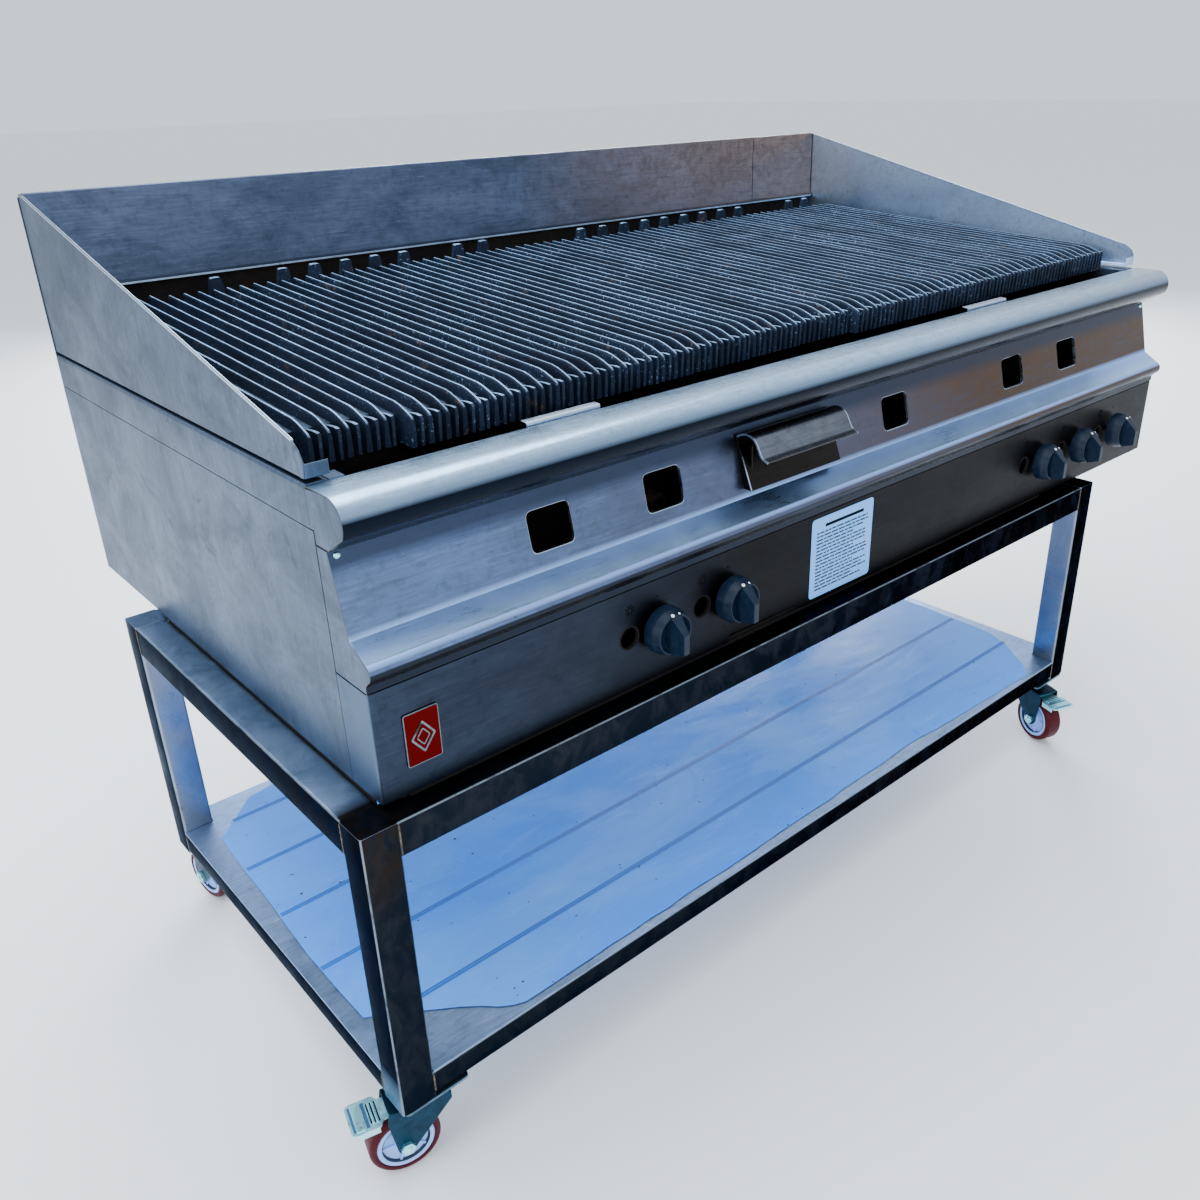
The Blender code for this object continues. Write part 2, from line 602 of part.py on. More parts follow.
def brander_shift(index):
    """How far back a casting lies out of line: after the first, they drift back in two runs."""
    if index == 0:
        return FIRST_SHIFT
    return 0.002 * (index - 1) if index < 8 else 0.001 * (index - 5)


def make_branders():
    """Iron castings side by side; some have lost a lug, and they lie a little out of line."""
    meshes = {sides: brander_mesh(sides) for sides in set(BRANDER_LUGS)}
    for i, name in enumerate(numbered("brander", BRANDERS)):
        obj = copies(meshes[BRANDER_LUGS[i]], [name], "brander_iron")[0]
        y = GRATE_FRONT[0] + brander_shift(i)
        obj.location = (GRATE_MARGIN + BRANDER_PITCH * (i + 0.5), y, grate_z(y))
        obj.rotation_euler = (GRATE_SLOPE, 0, 0)


# ---------------------------------------------------------------- stand

def stand_members():
    """Two corners of each leg and rail, and the axis that it runs along."""
    (x0, x1), (y0, y1) = STAND_X, STAND_Y
    end = TUBE / 2
    members = [((x, y, LEG_BOTTOM), (x + TUBE, y + TUBE, STAND_TOP), 2)
               for x in (x0, x1 - TUBE) for y in (y0, y1 - TUBE)]
    low = SHELF_TOP - SHEET - GAP - LOW_TUBE
    for z, size in ((STAND_TOP - TUBE, TUBE), (low, LOW_TUBE)):
        top = z + size - RAIL_INSET
        for y in (y0 + RAIL_INSET, y1 - size - RAIL_INSET):
            members.append(((x0 + end, y, z), (x1 - end, y + size, top), 0))
        for x in (x0 + RAIL_INSET, x1 - size - RAIL_INSET):
            members.append(((x, y0 + end, z), (x + size, y1 - end, top), 1))
    return members


def bore(index, low, high, along):
    """The hollow inside a leg or rail; a leg's stops short of its ends."""
    closed = TUBE_WALL / 2 if along == 2 else 0
    start = [a + (closed if i == along else TUBE_WALL) for i, a in enumerate(low)]
    end = [b - (closed if i == along else TUBE_WALL) for i, b in enumerate(high)]
    return box(f"stand_bore_{index}", start, end)


def make_stand():
    """Welded frame of square tube with the castors' plates under its legs, each drained by a small hole."""
    members = stand_members()
    bars = [box(f"stand_bar_{i}", low, high) for i, (low, high, _) in enumerate(members)]
    bars[0].name = "stand_frame"
    length, width, thickness = CASTOR_PLATE
    plates = []
    drains = []
    for name, (side_x, side_y, _, _) in CASTORS.items():
        x, y = swivel(name)
        plates.append(box(f"plate_{name}", (x - length / 2, y - width / 2, LEG_BOTTOM - thickness),
                          (x + length / 2, y + width / 2, LEG_BOTTOM + 0.0003)))
        x = STAND_X[side_x] + (0.5 - side_x) * TUBE / 2
        y = STAND_Y[side_y] + (0.5 - side_y) * TUBE / 2
        drains.append(rod(f"drain_{name}", (x, y, LEG_BOTTOM - 0.01), (x, y, LEG_BOTTOM + 0.01), 0.004, 8))
    bores = [bore(i, *member) for i, member in enumerate(members)]
    return paint(cut(join(*bars, *plates), *bores, *drains), "stand_steel")


def make_undershelf():
    """Sheet laid on the lower rails and notched round the legs."""
    (x0, x1), (y0, y1) = STAND_X, STAND_Y
    notch = TUBE + GAP
    outline = [(x0 + notch, y0), (x1 - notch, y0), (x1 - notch, y0 + notch), (x1, y0 + notch),
               (x1, y1 - notch), (x1 - notch, y1 - notch), (x1 - notch, y1), (x0 + notch, y1),
               (x0 + notch, y1 - notch), (x0, y1 - notch), (x0, y0 + notch), (x0 + notch, y0 + notch)]
    return paint(prism("undershelf", outline, "Z", SHELF_TOP - SHEET, SHELF_TOP), "shelf_steel")


def swivel(name):
    """Plan position of a castor's swivel axis."""
    side_x, side_y = CASTORS[name][:2]
    x = STAND_X[side_x] + (SWIVEL_INSET[0] if side_x == 0 else -SWIVEL_INSET[0])
    y = STAND_Y[side_y] + (SWIVEL_INSET[1] if side_y == 0 else -SWIVEL_INSET[1])
    return x, y


def fork_shape():
    """Swivel head, crown, two cheeks and the axle. +X is the trailing side, z = 0 the leg's foot."""
    axle_z = WHEEL_RADIUS - CASTOR_HEIGHT
    head = rod("fork", (0, 0, -0.0160), (0, 0, -0.0034), 0.021, 20)
    crown_z = -0.0150
    half = FORK_GAP / 2 + FORK_PLATE
    crown = prism("fork_crown", [(-0.024, -half + 0.0003), (0.044, -half + 0.0003), (0.044, half - 0.0003),
                                 (-0.024, half - 0.0003)], "Z", crown_z - 0.0028, crown_z)
    cheek = [(-0.0245, crown_z - 0.0004), (-0.0245, -0.026), *arc((TRAIL, axle_z), 0.0105, 215, 350, 6),
             (0.0465, -0.030), (0.0445, crown_z - 0.0004)]
    cheeks = [prism(f"fork_cheek_{i}", cheek, "Y", y, y + FORK_PLATE)
              for i, y in enumerate((-half, FORK_GAP / 2))]
    axle = rod("fork_axle", (TRAIL, -half - 0.004, axle_z), (TRAIL, half + 0.004, axle_z), AXLE_RADIUS, 16)
    nuts = [rod(f"fork_nut_{i}", (TRAIL, y, axle_z), (TRAIL, y + 0.0055, axle_z), 0.0085, 6)
            for i, y in enumerate((-half - 0.0052, half - 0.0003))]
    return join(head, crown, *cheeks, axle, *nuts)


def hub_profile():
    half = WHEEL_WIDTH / 2 - 0.0005
    bore = AXLE_RADIUS + 0.0004
    rim = HUB_RADIUS - GAP
    dish = half - 0.003
    return [(bore, dish), (0.027, dish), (0.029, half), (rim, half), (rim, -half), (0.029, -half),
            (0.027, -dish), (bore, -dish)]


def tyre_profile():
    half = WHEEL_WIDTH / 2
    shoulder = 0.004
    return [(HUB_RADIUS, half), (WHEEL_RADIUS - shoulder, half), (WHEEL_RADIUS, half - shoulder),
            (WHEEL_RADIUS, -half + shoulder), (WHEEL_RADIUS - shoulder, -half), (HUB_RADIUS, -half)]


def pedal_shape():
    """Brake pedal from its pivot at the origin out to its tip along +X."""
    reach = PEDAL_REACH - PEDAL_PIVOT[0]
    arm, pad = 0.0145, PEDAL_WIDTH / 2
    outline = [(-0.004, -arm), (0.0145, -arm), (0.017, -pad), (reach - 0.004, -pad), (reach, -pad + 0.004),
               (reach, pad - 0.004), (reach - 0.004, pad), (0.017, pad), (0.0145, arm), (-0.004, arm)]
    plate = prism("pedal", outline, "Z", -0.0015, 0.0010)
    pin = rod("pedal_pin", (0, -0.0150, 0), (0, 0.0150, 0), 0.0028, 10)
    flanks = [box(f"pedal_flank_{i}", (0.0185, y, -0.0080), (reach - 0.0045, y + 0.002, 0.0005))
              for i, y in enumerate((-pad + 0.0003, pad - 0.0023))]
    return join(plate, pin, *flanks)


def make_castors():
    """Four swivel castors; the two at the front have a brake pedal."""
    axle_z = WHEEL_RADIUS - CASTOR_HEIGHT
    fork = baked(fork_shape())
    hub = baked(turned("hub", hub_profile()))
    tyre = baked(turned("tyre", tyre_profile()))
    pedal = baked(pedal_shape())
    for name, (_, _, heading, braked) in CASTORS.items():
        pivot = bpy.data.objects.new(f"castor_{name}_swivel", None)
        PARTS.objects.link(pivot)
        pivot.location = (*swivel(name), LEG_BOTTOM)
        pivot.rotation_euler = (0, 0, heading)
        pieces = [(*copies(fork, [f"castor_{name}_fork"], "castor_zinc"), (0, 0, 0), 0)]
        pieces.append((*copies(hub, [f"castor_{name}_hub"], "castor_hub", True), (TRAIL, 0, axle_z), 90))
        pieces.append((*copies(tyre, [f"castor_{name}_tyre"], "castor_tyre", True), (TRAIL, 0, axle_z), 90))
        if braked:
            place = (PEDAL_PIVOT[0], 0, PEDAL_PIVOT[1])
            pieces.append((*copies(pedal, [f"castor_{name}_pedal"], "castor_zinc"), place, 0))
        for obj, place, tilt in pieces:
            obj.parent = pivot
            obj.location = place
            obj.rotation_euler = (math.radians(tilt), 0, 0)


# ---------------------------------------------------------------- placing

def pedal_tips():
    """Plan positions of the outer corners of the brake pedals, the furthest points forward and left."""
    tips = []
    for name, (_, _, heading, braked) in CASTORS.items():
        x, y = swivel(name)
        half = PEDAL_WIDTH / 2
        for across in (-1, 1):
            for along, out in ((PEDAL_REACH, half - 0.004), (PEDAL_REACH - 0.004, half)):
                if braked:
                    tips.append((x + along * math.cos(heading) - across * out * math.sin(heading),
                                 y + along * math.sin(heading) + across * out * math.cos(heading)))
    return tips


def place_on_floor():
    """Moves every piece so that the bounding box stands on z = 0, centred on the origin."""
    left = min(x for x, _ in pedal_tips())
    front = min(y for _, y in pedal_tips())
    datum = bpy.data.objects.new("datum", None)
    PARTS.objects.link(datum)
    datum.location = (-(left + WIDTH) / 2, -(front + DEPTH) / 2, -FLOOR)
    for obj in list(PARTS.objects) + list(CUTTERS.objects):
        if obj.parent is None and obj is not datum:
            obj.parent = datum


clear_scene()
PARTS = new_collection("charbroiler_grill")
CUTTERS = new_collection("charbroiler_cutters")
FINISH = make_materials()

make_hob_top()
make_side_panels()
make_rear_panel()
make_base_pan()
make_vent_panel()
make_control_fascia()
make_badge()
make_splash_back()
make_splash_guards()
make_firebox()
make_burners()
make_gas_manifold()
make_controls()
make_fat_drawer()
make_branders()
make_stand()
make_undershelf()
make_castors()
place_on_floor()
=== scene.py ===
"""Looks of the chargrill: fine surfaces, materials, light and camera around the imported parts.

Pieces are laid out as the grill is: x from its left side, y from the front of the control fascia,
z from the casing's bottom edge. DATUM is that point in the frame.
"""

import json
import math
import random

import bmesh
import bpy
from mathutils import Matrix, Vector


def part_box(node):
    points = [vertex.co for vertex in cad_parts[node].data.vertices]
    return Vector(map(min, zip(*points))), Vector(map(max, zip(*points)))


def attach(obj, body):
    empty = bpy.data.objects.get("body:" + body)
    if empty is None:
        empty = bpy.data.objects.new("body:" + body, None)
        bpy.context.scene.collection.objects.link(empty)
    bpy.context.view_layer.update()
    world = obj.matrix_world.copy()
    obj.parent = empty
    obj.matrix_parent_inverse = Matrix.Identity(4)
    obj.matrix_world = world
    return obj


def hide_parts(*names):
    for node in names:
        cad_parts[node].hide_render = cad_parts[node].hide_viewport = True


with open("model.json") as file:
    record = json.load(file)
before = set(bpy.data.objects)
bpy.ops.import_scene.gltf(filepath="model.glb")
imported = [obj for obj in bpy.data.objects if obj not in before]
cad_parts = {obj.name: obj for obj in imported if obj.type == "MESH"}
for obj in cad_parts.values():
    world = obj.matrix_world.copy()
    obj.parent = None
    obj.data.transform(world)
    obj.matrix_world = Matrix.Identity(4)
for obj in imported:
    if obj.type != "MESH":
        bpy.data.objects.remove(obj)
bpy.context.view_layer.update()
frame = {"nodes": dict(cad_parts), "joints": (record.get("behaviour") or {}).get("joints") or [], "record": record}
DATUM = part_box("control_fascia")[0]
JOINTS = {joint["name"]: joint for joint in frame["joints"]}
FIXED = "grill_on_stand"


def local_box(node):
    low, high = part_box(node)
    return low - DATUM, high - DATUM


def body_of(node):
    bodies = frame["record"]["behaviour"]["bodies"]
    return next(body for body, nodes in bodies.items() if node in nodes)


# Sizes shared with the frame
SHEET = 0.0015
WIDTH, RETURN_DEPTH, FASCIA_TOP = local_box("control_fascia")[1]
DEPTH = local_box("rear_panel")[1].y
HOB_TOP = local_box("hob_top")[1].z
SKIRT_BOTTOM = local_box("left_side_panel")[1].z + 0.0008
BULL_RADIUS = 0.022
BULL_BOTTOM = 0.2475
OPENING_FRONT, OPENING_REAR = 0.062, 0.722
SIDE_STRIP = 0.024
VENT_X = (0.233, 0.387, 0.802, 1.087, 1.242)
VENT_SIZE = (0.055, 0.043)
VENT_Z = 0.205
VENT_TOP = 0.2455
SIGHT_X = (0.3084, 0.4181, 1.105, 1.2155, 1.331)
SIGHT_RADIUS = 0.0135
NOTCH_X = (0.463, 0.6)
KNOBS = [f"knob_{i}" for i in range(1, 6)]
KNOB_CENTRES = [sum(local_box(node), Vector()) / 2 for node in KNOBS]
KNOB_Z = KNOB_CENTRES[-1].z
BRANDERS = sorted(name for name in frame["nodes"] if name.startswith("brander"))
BRANDER_LENGTH = 0.593
BRANDER_GAP = 0.0008
BLADES = 5
GRATE_FRONT = (0.095, 0.333)
GRATE_SLOPE = math.radians(3.4)
RIB_HALF = 0.0017
LUG_SIDES = ((), (1,), (1,), *[(-1, 1)] * 2, (1,), (-1,), (), *[(-1, 1)] * 4, (-1,), (1,), (-1,))
STAND_X, STAND_Y = (-0.039, 1.2935), (-0.025, 0.5895)
TUBE, RAIL = 0.04, 0.03
STAND_TOP, FOOT = -0.005, -0.36
CASTORS = ("front_left", "front_right", "rear_left", "rear_right")


# ---------------------------------------------------------------- materials

class Signal:
    """A node's output that can be added, multiplied and mapped to another range."""

    def __init__(self, shader, socket):
        self.shader, self.socket = shader, socket

    def __add__(self, other):
        return self.shader.math("ADD", self, other)

    def __sub__(self, other):
        return self.shader.math("SUBTRACT", self, other)

    def __mul__(self, other):
        return self.shader.math("MULTIPLY", self, other)

    def span(self, low, high, to_low=0.0, to_high=1.0):
        """Maps a range of values to another one, clamped."""
        return self.shader.node("MapRange", {"Value": self, "From Min": low, "From Max": high,
                                             "To Min": to_low, "To Max": to_high})

    def spread(self, to_low, to_high):
        """Maps the range that most of a noise lies in."""
        return self.span(0.3, 0.7, to_low, to_high)


class Shader:
    """A Principled material whose colour is built up in layers."""

    def __init__(self, name, colour, roughness, metallic=0.0, **sockets):
        self.material = bpy.data.materials.new(name)
        self.material.use_nodes = True
        self.tree = self.material.node_tree
        self.inputs = self.tree.nodes["Principled BSDF"].inputs
        sockets |= {"Base Color": (*colour, 1.0), "Roughness": roughness, "Metallic": metallic}
        for socket, value in sockets.items():
            self.inputs[socket.replace("_", " ")].default_value = value
        self.colour = colour
        self.place = self.node("TexCoord", {}, "Object")

    def node(self, kind, inputs, output=0, **settings):
        """A new node's output. Inputs are numbers, vectors as lists, colours as tuples, or signals."""
        node = self.tree.nodes.new("ShaderNode" + kind)
        for name, value in settings.items():
            setattr(node, name, value)
        for socket, value in inputs.items():
            if isinstance(value, Signal):
                self.tree.links.new(value.socket, node.inputs[socket])
            else:
                node.inputs[socket].default_value = (*value, 1.0) if isinstance(value, tuple) else value
        return Signal(self, node.outputs[output])

    def noise(self, size, detail=4.0, roughness=0.55, distortion=0.0, stretch=(1, 1, 1)):
        """Noise whose features are about size metres, stretched along the axes."""
        where = self.node("Mapping", {"Scale": [1 / (size * s) for s in stretch], "Vector": self.place})
        return self.node("TexNoise", {"Scale": 1.0, "Detail": detail, "Roughness": roughness,
                                      "Distortion": distortion, "Vector": where})

    def axis(self, name):
        return self.node("SeparateXYZ", {"Vector": self.place}, name)

    def along(self, name, start, end, *to):
        """Maps a stretch of an axis, which is given in the grill's own lengths."""
        origin = DATUM["XYZ".index(name)]
        return self.axis(name).span(origin + start, origin + end, *to)

    def facing(self, name, *span):
        """How far the surface faces along an axis, mapped if a span is given."""
        normal = self.node("NewGeometry", {}, "Normal")
        facing = self.node("SeparateXYZ", {"Vector": normal}, name)
        return facing.span(*span) if span else facing

    def math(self, operation, a, b=0):
        return self.node("Math", {0: a, 1: b}, operation=operation)

    def mix(self, amount, under, over):
        return self.node("Mix", {"Factor": amount, 6: under, 7: over}, 2, data_type="RGBA")

    def lay(self, colour, amount):
        """Lays a colour over what there is, fully where the amount is 1."""
        self.colour = self.mix(amount, self.colour, colour)

    def corner(self):
        """High on the rounded edges of square pieces, 0 on their flat faces."""
        faces = [self.math("ABSOLUTE", self.facing(name)) for name in "XYZ"]
        products = [faces[i] * faces[i - 1] for i in range(3)]
        return products[0] + (products[1] + products[2])

    def finish(self, height, distance, strength, rough=None):
        """Feeds the shader its colour, a bump and perhaps a roughness, and gives the material."""
        bump = self.node("Bump", {"Distance": distance, "Strength": strength, "Height": height}, "Normal")
        for socket, signal in (("Base Color", self.colour), ("Normal", bump), ("Roughness", rough)):
            if signal:
                self.tree.links.new(signal.socket, self.inputs[socket])
        return self.material


def scaled(colour, factor):
    return tuple(factor * c for c in colour)


def steel(name, clean, smeared, roughness, grain="X", painted_light_by_facing=(), fade=None, stain=(0.1, 0.07, 0.05),
          stain_from=0.6, grime=None, edge_tint=1.0, painted_light_bands=()):
    """Brushed sheet: fine grain one way, smears, dirt, specks and short scratches.

    The colours given by facing are painted light and shade: each has a direction and the range of the
    normal along it over which it takes over, and fade is the same over x. grime is a colour with its
    strength and the places in x and z where it gathers. The colours laid by height are painted
    highlights and painted shade, each with the heights at which it comes in and fades out again.
    edge_tint is how bright it stays at a grazing angle.
    """
    made = Shader(name, clean, roughness, 1.0, Specular_Tint=(edge_tint, edge_tint, edge_tint, 1.0))
    fine, lines = [made.noise(*shape, [length if axis == grain else 1.0 for axis in "XYZ"])
                   for length, shape in ((40.0, (0.0008, 3, 0.6, 0.0)), (14.0, (0.0035, 6, 0.7, 0.4)))]
    smears = made.noise(0.11, 7, 0.66, 0.8, (1.3, 1.0, 0.8))
    mottle = made.noise(0.012, 5, 0.7)
    scratches = made.noise(0.003, 2, 0.4, 2.5, (14, 14, 1) if grain == "X" else (1, 9, 9))
    made.lay(smeared, smears.span(0.38, 0.62))
    made.lay(scaled(clean, 1.35), lines.span(0.46, 0.3, 0.0, 0.45))
    made.lay(tuple(min(1.0, 1.6 * c) for c in clean), scratches.span(0.7, 0.74, 0, 0.45))
    if fade:
        colour, start, end = fade
        made.lay(colour, made.along("X", start, end))
    made.lay(scaled(smeared, 0.55), lines.span(0.5, 0.72, 0.0, 0.5))
    made.lay(scaled(smeared, 0.45), mottle.span(0.5, 0.72, 0.0, 0.42))
    if grime:
        colour, strength, x_span, z_span = grime
        cloud = made.noise(0.028, 8, 0.75, 1.0).span(0.42, 0.6, 0.0, strength)
        made.lay(colour, made.along("X", *x_span) * made.along("Z", *z_span) * cloud)
    dirt = made.noise(0.045, 8, 0.75, 1.2).span(stain_from, stain_from + 0.15, 0.0, 0.55)
    made.lay(stain, dirt)
    # Painted light and shade: each colour takes over on faces turned the given way.
    for direction, colour, start, end in painted_light_by_facing:
        made.lay(colour, made.facing(direction, start, end))
    # Painted highlights and painted shade, each laid over a span of height.
    for colour, rise, fall in painted_light_bands:
        made.lay(colour, made.along("Z", *rise) * made.along("Z", *fall) * 0.85)
    made.lay((0.02, 0.02, 0.02), made.noise(0.0032, 2, 0.5).span(0.735, 0.775, 0.0, 0.6))
    rough = smears.spread(roughness - 0.06, roughness + 0.08) + fine.spread(-0.04, 0.05)
    return made.finish(fine + mottle * 0.8, 0.0003, 0.28, rough + dirt * 0.3)


def cast_iron(name, colour, worn_and_sheen, rust_from=0.7, gloss=0.46, worn_plane=None):
    """Seasoned iron: pitted, with rust and ash in spots, and pale where its edges face up: partly real wear and
    partly a painted blue highlight of the sky.

    worn_plane is the height and the slope along y of the plane that the worn edges lie in.
    """
    made = Shader(name, colour, gloss, 0.35, Specular_IOR_Level=0.22)
    pits = made.noise(0.0022, 5, 0.7)
    patches = made.noise(0.07, 6, 0.62, 0.8, (1, 1.6, 1))
    facing_up = made.facing("Z", 0.6, 0.95)
    # Pale edges that face up: partly real wear, partly a painted blue highlight of the sky.
    top = facing_up * pits.span(0.36, 0.58, 0.35, 1.0) * patches.span(0.34, 0.62, 0.35, 1.0)
    made.lay(scaled(colour, 1.9), patches.span(0.38, 0.62))
    if worn_plane:
        height, slope = worn_plane
        level = made.axis("Z") - made.axis("Y") * slope
        top = top * level.span(height - 0.0122, height - 0.0085)
        # Residue on up-facing faces in the middle of the grate: partly real residue, partly a painted blue
        # reflection.
        residue_and_sheen = made.noise(0.016, 8, 0.78, 0.6, (1, 2.2, 1)).span(0.36, 0.64, 0.15, 0.75)
        made.lay(scaled(worn_and_sheen, 0.27), facing_up * residue_and_sheen * made.along("X", 0.15, 0.6, 0.75, 1.3))
    made.lay(worn_and_sheen, top)
    rust_area = made.noise(0.035, 6, 0.7, 0.5).span(rust_from - 0.06, rust_from + 0.05)
    rust = rust_area * made.noise(0.004, 4, 0.6).span(0.42, 0.6)
    made.lay((0.15, 0.085, 0.045), rust)
    ash = made.noise(0.0032, 4, 0.6).span(0.62, 0.67, 0.0, 0.7)
    made.lay(scaled(worn_and_sheen, 0.62), ash * patches.span(0.46, 0.58, 0.15, 1.0))
    rough = pits.spread(gloss - 0.1, gloss + 0.14) + rust * 0.3
    return made.finish(pits + patches * 0.8, 0.0009, 0.8, rough)


def plastic(name, colour, roughness, dust, dust_amount, specular):
    """Moulded plastic with a spark-eroded grain, scuffs and a little dust."""
    made = Shader(name, colour, roughness, Specular_IOR_Level=specular)
    scuffs = made.noise(0.012, 7, 0.75, 1.5)
    made.lay(dust, scuffs.span(0.5, 0.72) * dust_amount)
    rough = scuffs.spread(roughness - 0.07, roughness + 0.12)
    return made.finish(made.noise(0.0006, 2, 0.5), 0.00012, 0.5, rough)


def zinc(name, colour, roughness, dulling=0.62):
    """Bright plated pressing with cloudy dulling."""
    made = Shader(name, colour, roughness, 1.0)
    clouds = made.noise(0.018, 6, 0.65, 0.7)
    made.lay(scaled(colour, dulling), clouds.span(0.4, 0.68))
    rough = clouds.spread(roughness - 0.08, roughness + 0.16)
    return made.finish(made.noise(0.0012, 3, 0.6), 0.0002, 0.4, rough)


def soot():
    made = Shader("firebox_crust", (0.006, 0.006, 0.007), 0.8, Specular_IOR_Level=0.12)
    crust = made.noise(0.012, 8, 0.75, 0.6)
    made.lay((0.014, 0.01, 0.008), made.noise(0.08, 5, 0.6).span(0.4, 0.7))
    made.lay((0.05, 0.045, 0.04), crust.span(0.64, 0.74))
    return made.finish(crust, 0.0015, 0.8, crust.spread(0.6, 0.95))


def film_plastic():
    """Thin blue protective film, slightly wrinkled, scuffed milky and specked with grit."""
    made = Shader("protective_film", (0.045, 0.265, 1.0), 0.24, Specular_IOR_Level=0.22)
    milky = made.noise(0.22, 6, 0.62, 0.5, (1.8, 1, 1))
    made.lay((0.08, 0.35, 1.0), milky.span(0.36, 0.66))
    made.lay((0.22, 0.52, 1.0), made.noise(0.016, 8, 0.8, 1.6, (2, 1, 1)).span(0.56, 0.7, 0.0, 0.4))
    made.lay((0.03, 0.03, 0.04), made.noise(0.0085, 2, 0.4).span(0.745, 0.76))
    ripple = made.noise(0.055, 3, 0.5, 0.8, (2.5, 1, 1))
    return made.finish(ripple, 0.003, 0.25, milky.spread(0.18, 0.36))


def printed(name, colour, roughness=0.45, specular=0.5):
    made = Shader(name, colour, roughness, Specular_IOR_Level=specular)
    wear = made.noise(0.006, 6, 0.7).span(0.55, 0.78)
    made.lay(scaled(colour, 0.75), wear * 0.5)
    return made.finish(wear, 0.00005, 0.3)


def tube_steel():
    """Bright-drawn tube, oil-darkened, with painted light on its top and inner faces, its rounded edges and left
    leg.
    """
    made = Shader("stand_tube", (0.007, 0.0105, 0.0165), 0.34, 1.0, Specular_Tint=(0.35, 0.38, 0.42, 1.0))
    mill = made.noise(0.0016, 4, 0.6, stretch=(20, 20, 20))
    clouds = made.noise(0.14, 6, 0.65, 0.8)
    scale = made.noise(0.03, 7, 0.7, 0.9, (1, 1, 1.6))
    made.lay((0.006, 0.0053, 0.0048), made.along("X", 0.2, WIDTH - 0.5))
    made.lay((0.021, 0.023, 0.028), scale.span(0.44, 0.62, 0.0, 0.65))
    heat = made.noise(0.02, 6, 0.7, 0.8, (1, 1, 2.5)).span(0.44, 0.58, 0.0, 0.8)
    heat = made.along("Z", -0.11, -0.05) * heat * made.along("X", 0.012, -0.002)
    made.lay((0.019, 0.0135, 0.0095), heat)
    # Painted light: lighter tones for lit faces, blue-grey where they face up and grey where they stand upright.
    rails = made.mix(clouds.span(0.38, 0.62), (0.34, 0.46, 0.66), (0.13, 0.19, 0.3))
    legs = made.mix(clouds.span(0.38, 0.62), (0.34, 0.37, 0.42), (0.22, 0.24, 0.28))
    top = made.facing("Z", 0.6, 0.9) * made.along("Y", 0.02, 0.04)
    inner_right = made.facing("X", -0.6, -0.9) * made.along("X", 1.0, 1.1)
    inner_rear = made.facing("Y", -0.6, -0.9) * made.along("Y", 0.35, 0.45)
    # These faces are painted lighter as lit faces: the tops, except the front rail's, and the inner faces at the
    # right and rear.
    clean = made.math("MAXIMUM", top, made.math("MAXIMUM", inner_right, inner_rear))
    made.lay(made.mix(made.facing("Z", 0.5, 0.3), rails, legs), clean)
    made.lay((0.016, 0.017, 0.02), scale.span(0.6, 0.7, 0.0, 0.6))
    # Painted highlight: a pale patch low on the outer face of the left front leg.
    left_leg_glint = made.facing("X", -0.6, -0.9) * made.along("Z", -0.31, -0.345)
    left_leg_glint = left_leg_glint * made.along("X", -0.03, -0.038) * made.along("Y", 0.015, 0.013)
    made.lay((0.26, 0.36, 0.5), left_leg_glint * 0.85)
    # Painted highlight along the tube's rounded edges, broken up by the scale.
    made.lay((0.2, 0.25, 0.31), made.corner().span(0.3, 0.5) * scale.span(0.66, 0.5, 0.25, 1.0))
    rough = clouds.spread(0.26, 0.46) + mill.spread(-0.05, 0.06)
    return made.finish(mill + clouds, 0.0005, 0.3, rough)


def weld_metal():
    """Heat tints, from blue through straw to grey."""
    made = Shader("weld_bead", (0.1, 0.1, 0.1), 0.42, 1.0)
    made.colour = made.node("ValToRGB", {"Fac": made.noise(0.01, 4, 0.6)}, "Color")
    elements = made.colour.socket.node.color_ramp.elements
    stops = ((0.3, (0.045, 0.055, 0.085)), (0.45, (0.1, 0.075, 0.05)),
             (0.6, (0.16, 0.14, 0.1)), (0.75, (0.09, 0.095, 0.1)))
    while len(elements) < len(stops):
        elements.new(0.5)
    for element, (position, colour) in zip(elements, stops):
        element.position = position
        element.color = (*colour, 1.0)
    return made.finish(made.noise(0.0028, 3, 0.5), 0.0012, 0.9)


